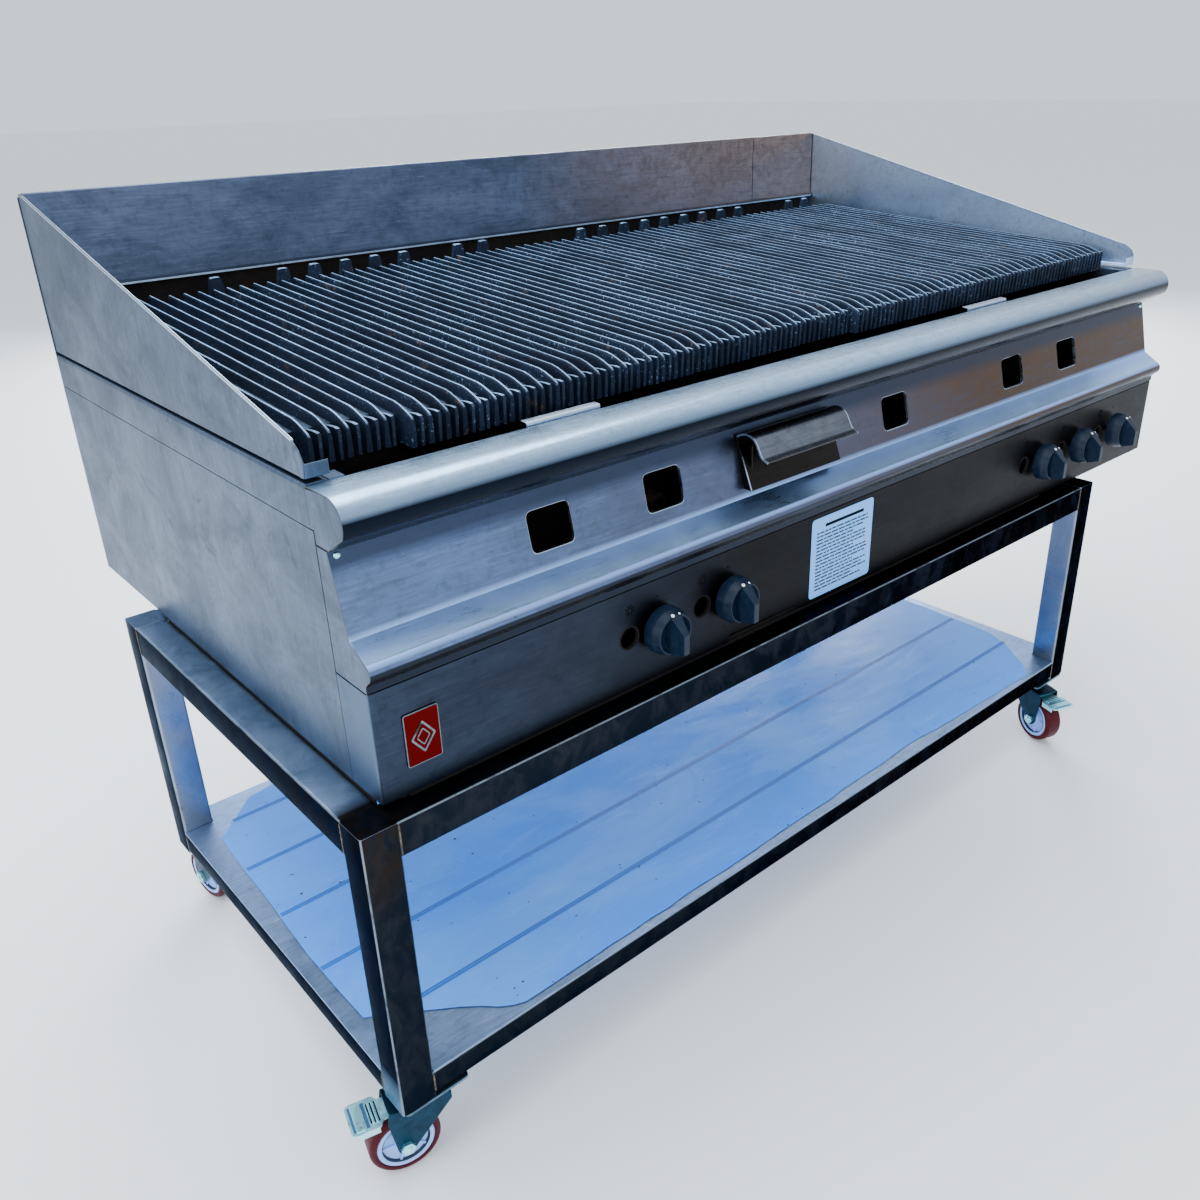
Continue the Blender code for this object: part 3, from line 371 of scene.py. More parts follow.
VENT_STAINS = ((0.12, 0.055, 0.02), 1.0, (0.7, 1.0), (0.195, 0.245))
# Painted highlight along the vent panel's crease, and painted shade in a band under the hob's rolled nose.
VENT_HIGHLIGHT_AND_SHADE_BANDS = (((0.34, 0.56, 1.0), (0.161, 0.165), (0.172, 0.1655)),
              ((0.03, 0.042, 0.07), (0.218, 0.233), (0.3, 0.28)))
BACK_STAINS = ((0.1, 0.075, 0.07), 0.6, (0.7, 0.95), (0.36, 0.46))
WORN_PLANE = (DATUM.z + GRATE_FRONT[1] - math.tan(GRATE_SLOPE) * (DATUM.y + GRATE_FRONT[0]),
              math.tan(GRATE_SLOPE))
CASING = (0.088, 0.133, 0.203)
MATERIALS = {
    "casing": steel("casing_steel", CASING, (0.062, 0.092, 0.138), 0.42, "Z",
                    stain=(0.06, 0.05, 0.046), stain_from=0.58),
    "hob": steel("hob_steel", (0.52, 0.76, 1.0), (0.42, 0.62, 0.84), 0.26,
                 # Painted shade: the rolled nose turns to a darker mid-tone, then near-black, as it faces down.
                 painted_light_by_facing=[("Z", (0.21, 0.31, 0.45), 0.8, 0.42), ("Z", (0.0055, 0.0085, 0.016), 0.38, 0.1)],
                 fade=((0.42, 0.5, 0.6), WIDTH - 0.7, WIDTH)),
    "vent": steel("vent_steel", (0.136, 0.21, 0.4), (0.106, 0.155, 0.27), 0.31,
                  # Painted shade on the nose's underside, a painted reflection on its up-facing slope and front,
                  # and a painted highlight on its top.
                  painted_light_by_facing=[("Z", (0.016, 0.021, 0.032), 0.2, 0.0), ("Z", (0.33, 0.52, 0.95), 0.4, 0.72),
                         ("Z", (0.62, 0.9, 1.0), 0.875, 0.97)],
                  fade=((0.086, 0.052, 0.033), 0.1, 1.0), grime=VENT_STAINS, painted_light_bands=VENT_HIGHLIGHT_AND_SHADE_BANDS),
    "fascia": steel("fascia_steel", (0.034, 0.048, 0.078), (0.026, 0.036, 0.058), 0.36,
                    # Painted light: the left end, which faces -X, takes the lighter casing tone, while the front
                    # and right end stay dark.
                    painted_light_by_facing=[("X", CASING, -0.6, -0.9)], fade=((0.0105, 0.01, 0.0105), -0.05, 0.5),
                    stain=(0.01, 0.009, 0.008), edge_tint=0.75),
    "splash": steel("splash_steel", (0.095, 0.128, 0.21), (0.058, 0.079, 0.13), 0.34, stain_from=0.64,
                    fade=((0.28, 0.195, 0.155), WIDTH - 0.75, WIDTH + 0.1), grime=BACK_STAINS),
    "guard": steel("guard_steel", (0.54, 0.72, 0.98), (0.42, 0.56, 0.76), 0.36, stain_from=0.64),
    "drawer": steel("drawer_steel", (0.17, 0.19, 0.23), (0.11, 0.12, 0.145), 0.24,
                    # Painted shade: the hook darkens where it turns to face down.
                    painted_light_by_facing=[("Z", (0.03, 0.03, 0.035), 0.42, -0.25)]),
    "drawer_plate": steel("drawer_plate_steel", (0.021, 0.018, 0.017), (0.015, 0.0125, 0.0115), 0.34),
    "shelf": steel("shelf_steel", (0.31, 0.48, 0.82), (0.25, 0.38, 0.65), 0.36),
    "stand": tube_steel(),
    "weld": weld_metal(),
    # The pale blue colour of the up-facing edges is partly wear, partly a painted highlight of the sky.
    "brander": cast_iron("brander_iron", (0.006, 0.012, 0.026), (0.42, 0.66, 1.0), 0.66,
                         worn_plane=WORN_PLANE),
    "burner": cast_iron("burner_iron", (0.03, 0.024, 0.021), (0.1, 0.07, 0.055), 0.58, 0.7),
    "soot": soot(),
    "pipe": zinc("gas_pipe", (0.16, 0.135, 0.1), 0.42),
    "zinc": zinc("castor_zinc", (0.44, 0.92, 1.0), 0.3, 0.92),
    "plate": zinc("plate_zinc", (0.1, 0.19, 0.26), 0.34),
    # A darker copy of the castor zinc, laid on the pedal as painted shade.
    "recess_shade": zinc("pedal_recess", (0.1, 0.25, 0.5), 0.35),
    "dark_zinc": zinc("fork_zinc", (0.013, 0.045, 0.08), 0.32),
    "knob": plastic("knob_plastic", (0.0028, 0.0105, 0.026), 0.36, (0.2, 0.24, 0.3), 0.06, 0.2),
    "hub": plastic("hub_plastic", (0.29, 0.5, 1.0), 0.38, (0.2, 0.2, 0.22), 0.35, 0.3),
    "tyre": plastic("tyre_rubber", (0.055, 0.0002, 0.0045), 0.42, (0.16, 0.05, 0.07), 0.07, 0.15),
    "film": film_plastic(),
    "film_line": printed("film_line", (0.008, 0.13, 0.55), 0.35, 0.2),
    "label": printed("label_card", (0.17, 0.45, 0.98), 0.5, 0.1),
    "ink": printed("dark_ink", (0.002, 0.003, 0.004), 0.7, 0.05),
    "grey_ink": printed("grey_ink", (0.022, 0.034, 0.055), 0.6, 0.2),
    "white": printed("white_mark", (0.9, 0.92, 0.94), 0.5),
    "red": printed("badge_red", (0.08, 0.0002, 0.0004), 0.4, 0.02),
    "badge": zinc("badge_silver", (0.15, 0.18, 0.21), 0.28),
    "silver": zinc("bright_edges", (0.56, 0.66, 0.8), 0.26, 0.8),
}


# ---------------------------------------------------------------- mesh helpers

AXES = {   # where a flat outline's two directions and its depth go
    "X": Matrix(((0, 0, 1, 0), (1, 0, 0, 0), (0, 1, 0, 0), (0, 0, 0, 1))),
    "Y": Matrix(((1, 0, 0, 0), (0, 0, 1, 0), (0, 1, 0, 0), (0, 0, 0, 1))),
    "Z": Matrix(),
}


def arc(centre, radius, start, end, count):
    angles = [math.radians(start + (end - start) * i / (count - 1)) for i in range(count)]
    return [(centre[0] + radius * math.cos(a), centre[1] + radius * math.sin(a)) for a in angles]


def upright(x=0, y=0, z=0):
    """Turns what was made about Z to face along Y, and moves it."""
    return Matrix.Translation((x, y, z)) @ Matrix.Rotation(math.pi / 2, 4, "X")


def rounded(outline, radius, count=4):
    """The outline with each corner turned into an arc."""
    made = []
    for i, corner in enumerate(outline):
        here = Vector(corner)
        back = Vector(outline[i - 1]) - here
        on = Vector(outline[(i + 1) % len(outline)]) - here
        reach = min(radius, back.length * 0.49, on.length * 0.49)
        start, end = here + back.normalized() * reach, here + on.normalized() * reach
        for k in range(count + 1):
            t = k / count
            made.append(tuple((1 - t) ** 2 * start + 2 * t * (1 - t) * here + t ** 2 * end))
    return made


def rectangle(x0, y0, x1, y1, radius, count=4):
    return rounded([(x0, y0), (x1, y0), (x1, y1), (x0, y1)], radius, count)


def curved(points, count):
    """A smooth curve through the points."""
    ends = [2 * Vector(points[0]) - Vector(points[1]), 2 * Vector(points[-1]) - Vector(points[-2])]
    knots = [ends[0], *map(Vector, points), ends[1]]
    made = []
    for a, b, c, d in zip(knots, knots[1:], knots[2:], knots[3:]):
        for k in range(count):
            t = k / count
            made.append(tuple(0.5 * (2 * b + (c - a) * t + (2 * a - 5 * b + 4 * c - d) * t ** 2
                                     + (3 * b - a - 3 * c + d) * t ** 3)))
    return [*made, tuple(points[-1])]


def filleted(path, radius, count=5):
    """An open path with its inner corners turned into arcs."""
    inner = rounded(path, radius, count)[count + 1:-(count + 1)]
    return [path[0], *inner, path[-1]]


def mirrored(profile):
    """A profile of (radius, height) points closed by its own mirror image below."""
    return profile + [(radius, -height) for radius, height in reversed(profile)]


def add_prism(bm, outline, axis, start, end):
    """A flat outline given depth along an axis."""
    verts = [bm.verts.new(AXES[axis] @ Vector((a, b, start))) for a, b in outline]
    face = bm.faces.new(verts)
    made = bmesh.ops.extrude_face_region(bm, geom=[face])["geom"]
    moved = [item for item in made if isinstance(item, bmesh.types.BMVert)]
    bmesh.ops.translate(bm, verts=moved, vec=AXES[axis].to_3x3() @ Vector((0, 0, end - start)))
    return verts + moved


def add_rim(bm, outer, centre, scales, start, end):
    """A rim between an upright outline and the same one drawn in towards its centre."""
    inner = [tuple(c + (p - c) * s for p, c, s in zip(point, centre, scales)) for point in outer]
    verts = []
    for corners in zip(outer, outer[1:] + outer[:1], inner[1:] + inner[:1], inner):
        verts += add_prism(bm, corners, "Y", start, end)
    return verts


def add_box(bm, low, high):
    size = [b - a for a, b in zip(low, high)]
    centre = [(a + b) / 2 for a, b in zip(low, high)]
    matrix = Matrix.Translation(centre) @ Matrix.Diagonal((*size, 1))
    return bmesh.ops.create_cube(bm, matrix=matrix)["verts"]


def add_ribbon(bm, path, axis, start, end, thickness=SHEET):
    """Bent sheet: a path of mid-thickness points, given thickness and depth."""
    points = [Vector(p) for p in path]
    sides = ([], [])
    for i, point in enumerate(points):
        before = (point - points[i - 1]).normalized() if i else None
        after = (points[i + 1] - point).normalized() if i + 1 < len(points) else None
        before, after = before or after, after or before
        normal = Vector((-(before + after).y, (before + after).x)).normalized()
        reach = thickness / 2 / max(0.3, normal.dot(Vector((-before.y, before.x))))
        sides[0].append(tuple(point + normal * reach))
        sides[1].append(tuple(point - normal * reach))
    return add_prism(bm, sides[0] + sides[1][::-1], axis, start, end)


def add_turned(bm, profile, matrix=Matrix(), steps=48):
    """A closed profile of (radius, height) points spun about Z, then moved."""
    verts = [bm.verts.new((radius, 0, height)) for radius, height in profile]
    edges = [bm.edges.new((verts[i - 1], verts[i])) for i in range(len(verts))]
    made = bmesh.ops.spin(bm, geom=verts + edges, cent=(0, 0, 0), axis=(0, 0, 1), angle=math.tau,
                          steps=steps, use_merge=True)
    reached = {v for item in made["geom_last"] for v in getattr(item, "verts", ())} | set(verts)
    frontier = list(reached)
    while frontier:
        for edge in frontier.pop().link_edges:
            new = set(edge.verts) - reached
            reached |= new
            frontier += new
    bmesh.ops.transform(bm, matrix=matrix, verts=list(reached))


def add_tube_skin(bm, rings):
    """Closes a row of equal rings of points into a solid."""
    rings = [[bm.verts.new(point) for point in ring] for ring in rings]
    for a, b in zip(rings, rings[1:]):
        for i in range(len(a)):
            j = (i + 1) % len(a)
            bm.faces.new((a[i], a[j], b[j], b[i]))
    bm.faces.new(rings[0][::-1])
    bm.faces.new(rings[-1])


def placed(name, data):
    """Puts a light, a camera or a finished bmesh into the scene as an object."""
    if isinstance(data, bmesh.types.BMesh):
        mesh = bpy.data.meshes.new(name)
        data.to_mesh(mesh)
        data.free()
        data = mesh
    obj = bpy.data.objects.new(name, data)
    bpy.context.scene.collection.objects.link(obj)
    return obj


def piece(name, bm, material, slot, body=FIXED, nodes=(), matrix=None, bevel=0.0, sharp=35, segments=2):
    """A finished mesh piece that rides on a body and may stand for CAD nodes."""
    bmesh.ops.recalc_face_normals(bm, faces=bm.faces)
    bm.transform(Matrix.Translation(DATUM) if matrix is None else matrix)
    obj = placed(name, bm)
    obj.data.materials.append(MATERIALS[material])
    obj.data.shade_smooth()
    obj.data.set_sharp_from_angle(angle=math.radians(sharp))
    if bevel:
        modifier = obj.modifiers.new("edges", "BEVEL")
        modifier.width, modifier.segments = bevel, segments
        modifier.limit_method, modifier.angle_limit = "ANGLE", math.radians(40)
        modifier.harden_normals = True
    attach(obj, body)
    if nodes:
        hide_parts(*nodes)
    return obj


def boxes(name, corners, *finish, **settings):
    """A piece made of boxes, each one given by its low and its high corner."""
    bm = bmesh.new()
    for low, high in corners:
        add_box(bm, low, high)
    return piece(name, bm, *finish, **settings)


def prisms(name, outline, axis, spans, *finish, **settings):
    """A piece made of one flat outline, given depth over each span."""
    bm = bmesh.new()
    for start, end in spans:
        add_prism(bm, outline, axis, start, end)
    return piece(name, bm, *finish, **settings)


def ribbon(name, path, axis, start, end, *finish, **settings):
    """A piece made of one bent sheet."""
    bm = bmesh.new()
    add_ribbon(bm, path, axis, start, end)
    return piece(name, bm, *finish, **settings)


def both_ends(gap):
    """The spans in x of a sheet at each side of the casing, a gap inside it."""
    return [(start, start + SHEET) for start in (gap, WIDTH - SHEET - gap)]


def pierced(obj, bm):
    """Cuts the shapes in bm, given in the grill's own lengths, out of the object."""
    bmesh.ops.recalc_face_normals(bm, faces=bm.faces)
    bm.transform(Matrix.Translation(DATUM))
    cutter = placed("holes", bm)
    modifier = obj.modifiers.new("holes", "BOOLEAN")
    modifier.operation = "DIFFERENCE"
    modifier.object = cutter
    bpy.context.view_layer.update()
    obj.data = bpy.data.meshes.new_from_object(obj.evaluated_get(bpy.context.evaluated_depsgraph_get()))
    obj.modifiers.clear()
    obj.data.set_sharp_from_angle(angle=math.radians(35))
    bpy.data.objects.remove(cutter, do_unlink=True)


# ---------------------------------------------------------------- casing

def panel_y(z):
    """Front face of the leaning vent panel at a height."""
    return 0.0169 + (z - 0.16) * (0.0375 - 0.0169) / 0.085


def bull_path():
    nose = arc((BULL_RADIUS, HOB_TOP - BULL_RADIUS), BULL_RADIUS - SHEET / 2, 90, 215, 26)
    return [*nose, (0.034, BULL_BOTTOM), (0.0562, BULL_BOTTOM)]


def make_hob():
    """Rolled front edge, folded side strips and skirts, and the strip behind the grate."""
    top, rear = HOB_TOP - SHEET / 2, DEPTH - 0.003
    inner = filleted([(OPENING_FRONT, SKIRT_BOTTOM), (OPENING_FRONT, top), (BULL_RADIUS + 0.002, top)], 0.004)
    ribbon("hob_front", [*inner, *bull_path()], "X", 0.0004, WIDTH - 0.0004, "hob", "casing_steel",
           nodes=["hob_top"], sharp=50)
    sides = bmesh.new()
    front = OPENING_FRONT + 0.001
    for outer, inward in ((SHEET / 2, 1), (WIDTH - SHEET / 2, -1)):
        fold = outer + inward * (SIDE_STRIP - SHEET / 2)
        path = [(outer, SKIRT_BOTTOM), (outer, top), (fold, top), (fold, top - 0.022)]
        add_ribbon(sides, filleted(path, 0.0035), "Y", front, rear)
    for x in (SIDE_STRIP, WIDTH - SIDE_STRIP - 0.015):
        add_box(sides, (x, front, HOB_TOP - SHEET), (x + 0.015, OPENING_FRONT + 0.02, HOB_TOP - 0.0001))
    piece("hob_sides", sides, "casing", "casing_steel", bevel=0.0003)
    boxes("hob_rear", [((SIDE_STRIP, OPENING_REAR, HOB_TOP - SHEET), (WIDTH - SIDE_STRIP, rear, HOB_TOP))],
          "soot", "casing_steel", bevel=0.0003)
    outline = [*bull_path()[:-1], (RETURN_DEPTH, BULL_BOTTOM), (RETURN_DEPTH, SKIRT_BOTTOM),
               (0.075, SKIRT_BOTTOM), (0.075, HOB_TOP - 0.004), (0.034, HOB_TOP - 0.0007)]
    prisms("hob_ends", outline, "X", both_ends(0.0002), "casing", "casing_steel", bevel=0.0006)


def vent_path():
    half = SHEET / 2
    crease, centre, radius = 0.165, (-0.0013, 0.142), 0.01
    nose = arc(centre, radius - half, 105, 250, 24)
    return [(panel_y(VENT_TOP) + half, VENT_TOP), (panel_y(crease) + half, crease), *nose,
            (half, FASCIA_TOP + 0.0085), (half, FASCIA_TOP + 0.0013)]


def make_vent_panel():
    """Leaning panel with its crease and nose, closed ends, five lined air vents and the drawer's opening."""
    panel = ribbon("vent_face", vent_path(), "X", 0.0002, WIDTH - 0.0002, "vent", "casing_steel",
                   nodes=["vent_panel"], sharp=25)
    holes, lining = bmesh.new(), bmesh.new()
    width, height = VENT_SIZE
    for x in VENT_X:
        outer = rectangle(x - width / 2, VENT_Z - height / 2, x + width / 2, VENT_Z + height / 2, 0.008, 5)
        add_prism(holes, outer, "Y", -0.03, 0.07)
        for vert in add_rim(lining, outer, (x, VENT_Z), (0.98, 0.975), 0.0004, 0.0042):
            vert.co.y += panel_y(vert.co.z)
    bmesh.ops.remove_doubles(lining, verts=lining.verts, dist=1e-5)
    piece("vent_linings", lining, "silver", "casing_steel")
    low, high = local_box("fat_drawer")
    add_box(holes, (low.x + 0.008, -0.02, low.z + 0.006), (high.x - 0.008, 0.05, 0.232))
    pierced(panel, holes)
    outline = [*vent_path(), (RETURN_DEPTH, FASCIA_TOP + 0.0013), (RETURN_DEPTH, VENT_TOP)]
    prisms("vent_ends", outline, "X", both_ends(0.0001), "casing", "casing_steel", bevel=0.0005)


def make_fascia():
    """Control panel with spindle holes, rimmed sight holes and a cut-out in its bottom edge."""
    half = SHEET / 2
    path = [(half, RETURN_DEPTH), (half, half), (WIDTH - half, half), (WIDTH - half, RETURN_DEPTH)]
    fascia = ribbon("fascia_face", filleted(path, 0.004), "Z", 0.0, FASCIA_TOP, "fascia", "fascia_steel",
                    nodes=["control_fascia"])
    holes, rims = bmesh.new(), bmesh.new()
    for centre in KNOB_CENTRES:
        add_turned(holes, mirrored([(0.0001, 0.01), (0.0065, 0.01)]), upright(centre.x, 0, centre.z), 24)
    rim = [(-0.0012, 0.0003), (0, 0.0006), (0.0007, 0.0002), (-0.0002, -0.004), (-0.0014, -0.004)]
    for x in SIGHT_X:
        add_prism(holes, arc((x, KNOB_Z), SIGHT_RADIUS, 0, 350, 36), "Y", -0.01, 0.01)
        add_turned(rims, [(SIGHT_RADIUS + out, height) for out, height in rim], upright(x, 0, KNOB_Z))
    start, end = NOTCH_X
    notch = [(start, -0.001), *arc((start + 0.004, 0.006), 0.004, 180, 90, 8),
             (end - 0.02, 0.0075), (end, -0.001)]
    add_prism(holes, notch, "Y", -0.01, 0.01)
    pierced(fascia, holes)
    piece("sight_rims", rims, "soot", "casing_steel")


def make_clips():
    """Two bright strips folded over the front edge of the hob's opening."""
    bm = bmesh.new()
    path = [(0.068, HOB_TOP - 0.008), (0.068, HOB_TOP + 0.0012), (0.077, HOB_TOP + 0.002)]
    for start, end in ((0.24, 0.335), (1.015, 1.115)):
        add_ribbon(bm, filleted(path, 0.0015), "X", start, end, 0.0012)
    piece("opening_clips", bm, "silver", "casing_steel", bevel=0.0002)


def make_nose_screws():
    """A small screw under each end of the hob's rolled edge."""
    bm = bmesh.new()
    height, inset = 0.2405, 0.0085
    head = [(0.0001, 0.0022), (0.0018, 0.002), (0.0032, 0.001), (0.0034, -0.0003), (0.0001, -0.0003)]
    for x in (inset, WIDTH - inset):
        add_turned(bm, head, upright(x, panel_y(height), height), 24)
    piece("nose_screws", bm, "zinc", "casing_steel", sharp=50)


def make_base_shade_strip():
    """A dark strip of painted shade under the front and the left side, in the gap above the stand's rails."""
    high = -0.0002
    boxes("base_shade_strip", [((0.0012, 0.018, -0.016), (0.003, 0.545, high)),
                         ((0.03, 0.0016, -0.0046), (1.17, 0.003, high))],
          "soot", "casing_steel", bevel=0.0003)


def make_splash():
    """Back and side guards with folded edges."""
    low, high = local_box("splash_back")
    face, fold = high.y - 0.0085, high.y - 0.0004
    path = [(face - 0.0045, low.z + 0.0065), (face - 0.0045, low.z + 0.0008), (face, low.z + 0.0012),
            (face, high.z - 0.0008), (fold, high.z - 0.0008), (fold, high.z - 0.014)]
    ribbon("splash_plate", filleted(path, 0.0016, 4), "X", low.x, high.x, "splash", "splash_steel",
           nodes=["splash_back"])
    shield = (0.006, face + 0.004, HOB_TOP + 0.001), (WIDTH - 0.006, face + 0.005, low.z + 0.01)
    hem = (low.x + 0.002, face - 0.0056, low.z + 0.0006), (high.x - 0.002, face - 0.005, low.z + 0.003)
    seam = (1.3176, face - 0.0011, low.z + 0.004), (1.3186, face - 0.0006, high.z - 0.002)
    boxes("heat_shield", [shield], "soot", "splash_steel", bevel=0.0002)
    boxes("splash_hem", [hem], "guard", "splash_steel", bevel=0.0001)
    boxes("splash_seam", [seam], "ink", "splash_steel", bevel=0.0001)
    for side, inward, finish in (("left", 1, "casing"), ("right", -1, "guard")):
        node = f"splash_guard_{side}"
        low, high = local_box(node)
        face, rear, bottom = (low.x if inward == 1 else high.x), high.y, low.z + 0.0012
        outline = [(0.064, bottom), (0.0625, 0.319), (0.068, 0.329), (0.0805, 0.337), (0.757, high.z),
                   (rear, high.z), (rear, bottom)]
        plate = bmesh.new()
        add_prism(plate, outline, "X", *sorted((face, face + inward * SHEET)))
        middle = face + inward * 0.0008
        under = bottom - 0.0006
        flange = [(middle, bottom + 0.006), (middle, under), (face + inward * 0.02, under)]
        add_ribbon(plate, filleted(flange, 0.002), "Y", 0.066, rear - 0.001, 0.0013)
        tab = [(middle, 0.0725), (middle, 0.0648), (face + inward * 0.0245, 0.0648)]
        add_ribbon(plate, filleted(tab, 0.003), "Z", under, bottom + 0.0125)
        edge = [(0.079, 0.3346), (0.757, 0.4949), (0.757, 0.4967), (0.079, 0.3364)]
        prisms(f"guard_{side}_edge", edge, "X", [sorted((face - inward * 0.0003, face + inward * 0.0026))],
               "silver", "splash_steel", bevel=0.0003)
        piece(f"guard_{side}", plate, finish, "splash_steel", nodes=[node], bevel=0.0005)


def make_drawer():
    """Front plate, tray and rolled hook of the fat drawer, with bright edges."""
    low, high = local_box("fat_drawer")
    x0, x1, z0, z1 = low.x, high.x, low.z, 0.238
    proud, top = 0.0084, panel_y(z1) - 0.0026
    bm = bmesh.new()
    add_prism(bm, [(proud + 0.0018, z0), (top + 0.0018, z1), (top, z1), (proud, z0)], "X", x0, x1)
    cheek = [(proud + 0.001, z0 + 0.0003), (panel_y(z0) - 0.0006, z0 + 0.0003),
             (panel_y(z1) - 0.0012, z1 - 0.004), (top + 0.001, z1 - 0.004)]
    for x in (x0 + 0.0003, x1 - 0.0003 - SHEET):
        add_prism(bm, cheek, "X", x, x + SHEET)
    left, right, front, back, floor, rim = x0 + 0.01, x1 - 0.01, 0.0175, high.y, z0 + 0.008, z1 - 0.012
    add_box(bm, (left, front, floor), (right, back, floor + SHEET))
    add_box(bm, (left, front, floor), (left + SHEET, back, rim))
    add_box(bm, (right - SHEET, front, floor), (right, back, rim))
    add_box(bm, (left, back - SHEET, floor), (right, back, rim))
    piece("drawer_tray", bm, "drawer_plate", "drawer_steel", "drawer", ["fat_drawer"], bevel=0.0004, sharp=30)
    bend = [(top + 0.0005, z1 - 0.003), (0.028, z1 + 0.0005), (0.02, z1 + 0.003), (0.011, z1 + 0.002),
            (0.004, z1 - 0.003), (-0.001, z1 - 0.011), (-0.006, z1 - 0.019), (-0.015, z1 - 0.023)]
    hook, trim = bmesh.new(), bmesh.new()
    add_ribbon(hook, curved(bend, 5), "X", x0 + 0.0003, x1 - 0.0003, 0.0016)
    piece("drawer_hook", hook, "drawer", "drawer_steel", "drawer", sharp=50)
    add_ribbon(trim, [(top - 0.0002, z1 - 0.003), (proud - 0.0002, z0 + 0.001)], "X", x0, x0 + 0.0014, 0.0008)
    for x in (x0 + 0.0001, x1 - 0.0015):
        add_ribbon(trim, curved(bend, 5), "X", x, x + 0.0012, 0.0022)
    piece("drawer_edges", trim, "silver", "drawer_steel", "drawer", sharp=50)


# ---------------------------------------------------------------- controls

def make_knobs():
    """Each knob is a dished disc with a wide tapering bar to grip, and a large and a small white dot on its rim.
    """
    shoulder, base, half = 0.0222, 0.011, 0.0073
    for i, node in enumerate(KNOBS, 1):
        low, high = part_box(node)
        matrix = upright((low.x + high.x) / 2, high.y, (low.z + high.z) / 2)
        radius, tip = (high.x - low.x) / 2, high.y - low.y - 0.0002
        bm = bmesh.new()
        disc = [(0.0045, 0.0002), (radius, 0.0002), (radius, 0.0115), (radius - 0.0008, 0.0135),
                (radius - 0.004, shoulder), (radius - 0.0055, shoulder), (radius - 0.0085, 0.0165),
                (0.012, 0.013), (0.0045, 0.012)]
        add_turned(bm, disc, steps=72)
        reach = radius - 0.0042
        side = [(-reach, base), (reach, base), (reach, shoulder - 0.0004), (0.22 * reach, tip),
                (-0.8 * reach, tip), (-reach, shoulder - 0.0004)]
        for vert in add_prism(bm, side, "X", -half, half):
            if vert.co.z > (shoulder + tip) / 2:
                vert.co.x *= 0.55
        body = f"control_{i}"
        piece(f"knob_{i}_body", bm, "knob", "knob_plastic", body, [node], matrix, bevel=0.0009, segments=3)
        dot = bmesh.new()
        rim = Matrix.Translation((radius - 0.0034, 0, shoulder - 0.0007)) @ Matrix.Rotation(1.0, 4, "Y")
        profile = [(0.0001, 0.001), (0.0014, 0.0009), (0.0019, 0.0004), (0.0001, -0.0004)]
        for angle, size in ((100, 1.1), (77, 0.7)):
            add_turned(dot, [(out * size, height * size) for out, height in profile],
                       Matrix.Rotation(math.radians(angle), 4, "Z") @ rim, 20)
        piece(f"knob_{i}_dot", dot, "white", "knob_plastic", body, (), matrix)


def make_badge():
    """Bordered enamel plate with a plain nested diamond."""
    low, high = local_box("badge")
    border = 0.0011
    prisms("badge_border", rectangle(low.x, low.z, high.x, high.z, 0.003), "Y", [(low.y, high.y)],
           "badge", "badge_enamel", nodes=["badge"], bevel=0.0004)
    inner = rectangle(low.x + border, low.z + border, high.x - border, high.z - border, 0.002)
    prisms("badge_face", inner, "Y", [(low.y - 0.0003, low.y + 0.0002)], "red", "badge_enamel", bevel=0.0002)
    emblem = bmesh.new()
    x, z = (low.x + high.x) / 2, (low.z + high.z) / 2
    for size in (0.0135, 0.0075):
        ring = rounded([(x, z - size * 1.3), (x + size, z), (x, z + size * 1.3), (x - size, z)], 0.002)
        add_rim(emblem, ring, (x, z), (0.82, 0.82), low.y - 0.0008, low.y - 0.0001)
    bmesh.ops.remove_doubles(emblem, verts=emblem.verts, dist=1e-6)
    piece("badge_emblem", emblem, "badge", "badge_enamel")


def make_label():
    """Plain instruction card: rows of grey dashes in place of words."""
    x0, x1, z0, z1 = 0.608, 0.73, 0.0055, 0.113
    prisms("label_card", rectangle(x0, z0, x1, z1, 0.006), "Y", [(-0.0005, -0.0001)],
           "label", "fascia_steel", bevel=0.0001)
    boxes("label_heading", [((x0 + 0.026, -0.0007, z1 - 0.0145), (x1 - 0.02, -0.0004, z1 - 0.0105))],
          "ink", "fascia_steel", bevel=0.0001)
    dashes = []
    random.seed(4)
    for row in range(17):
        z = z1 - 0.0215 - row * 0.0048
        x = x0 + 0.01
        end = x1 - 0.008 - (0.03 if row % 4 == 3 else random.uniform(0, 0.012))
        while x < end:
            dash = min(random.uniform(0.004, 0.014), end - x)
            dashes.append(((x, -0.0006, z), (x + dash, -0.0004, z + 0.0021)))
            x += dash + 0.0015
    boxes("label_rows", dashes, "grey_ink", "fascia_steel")


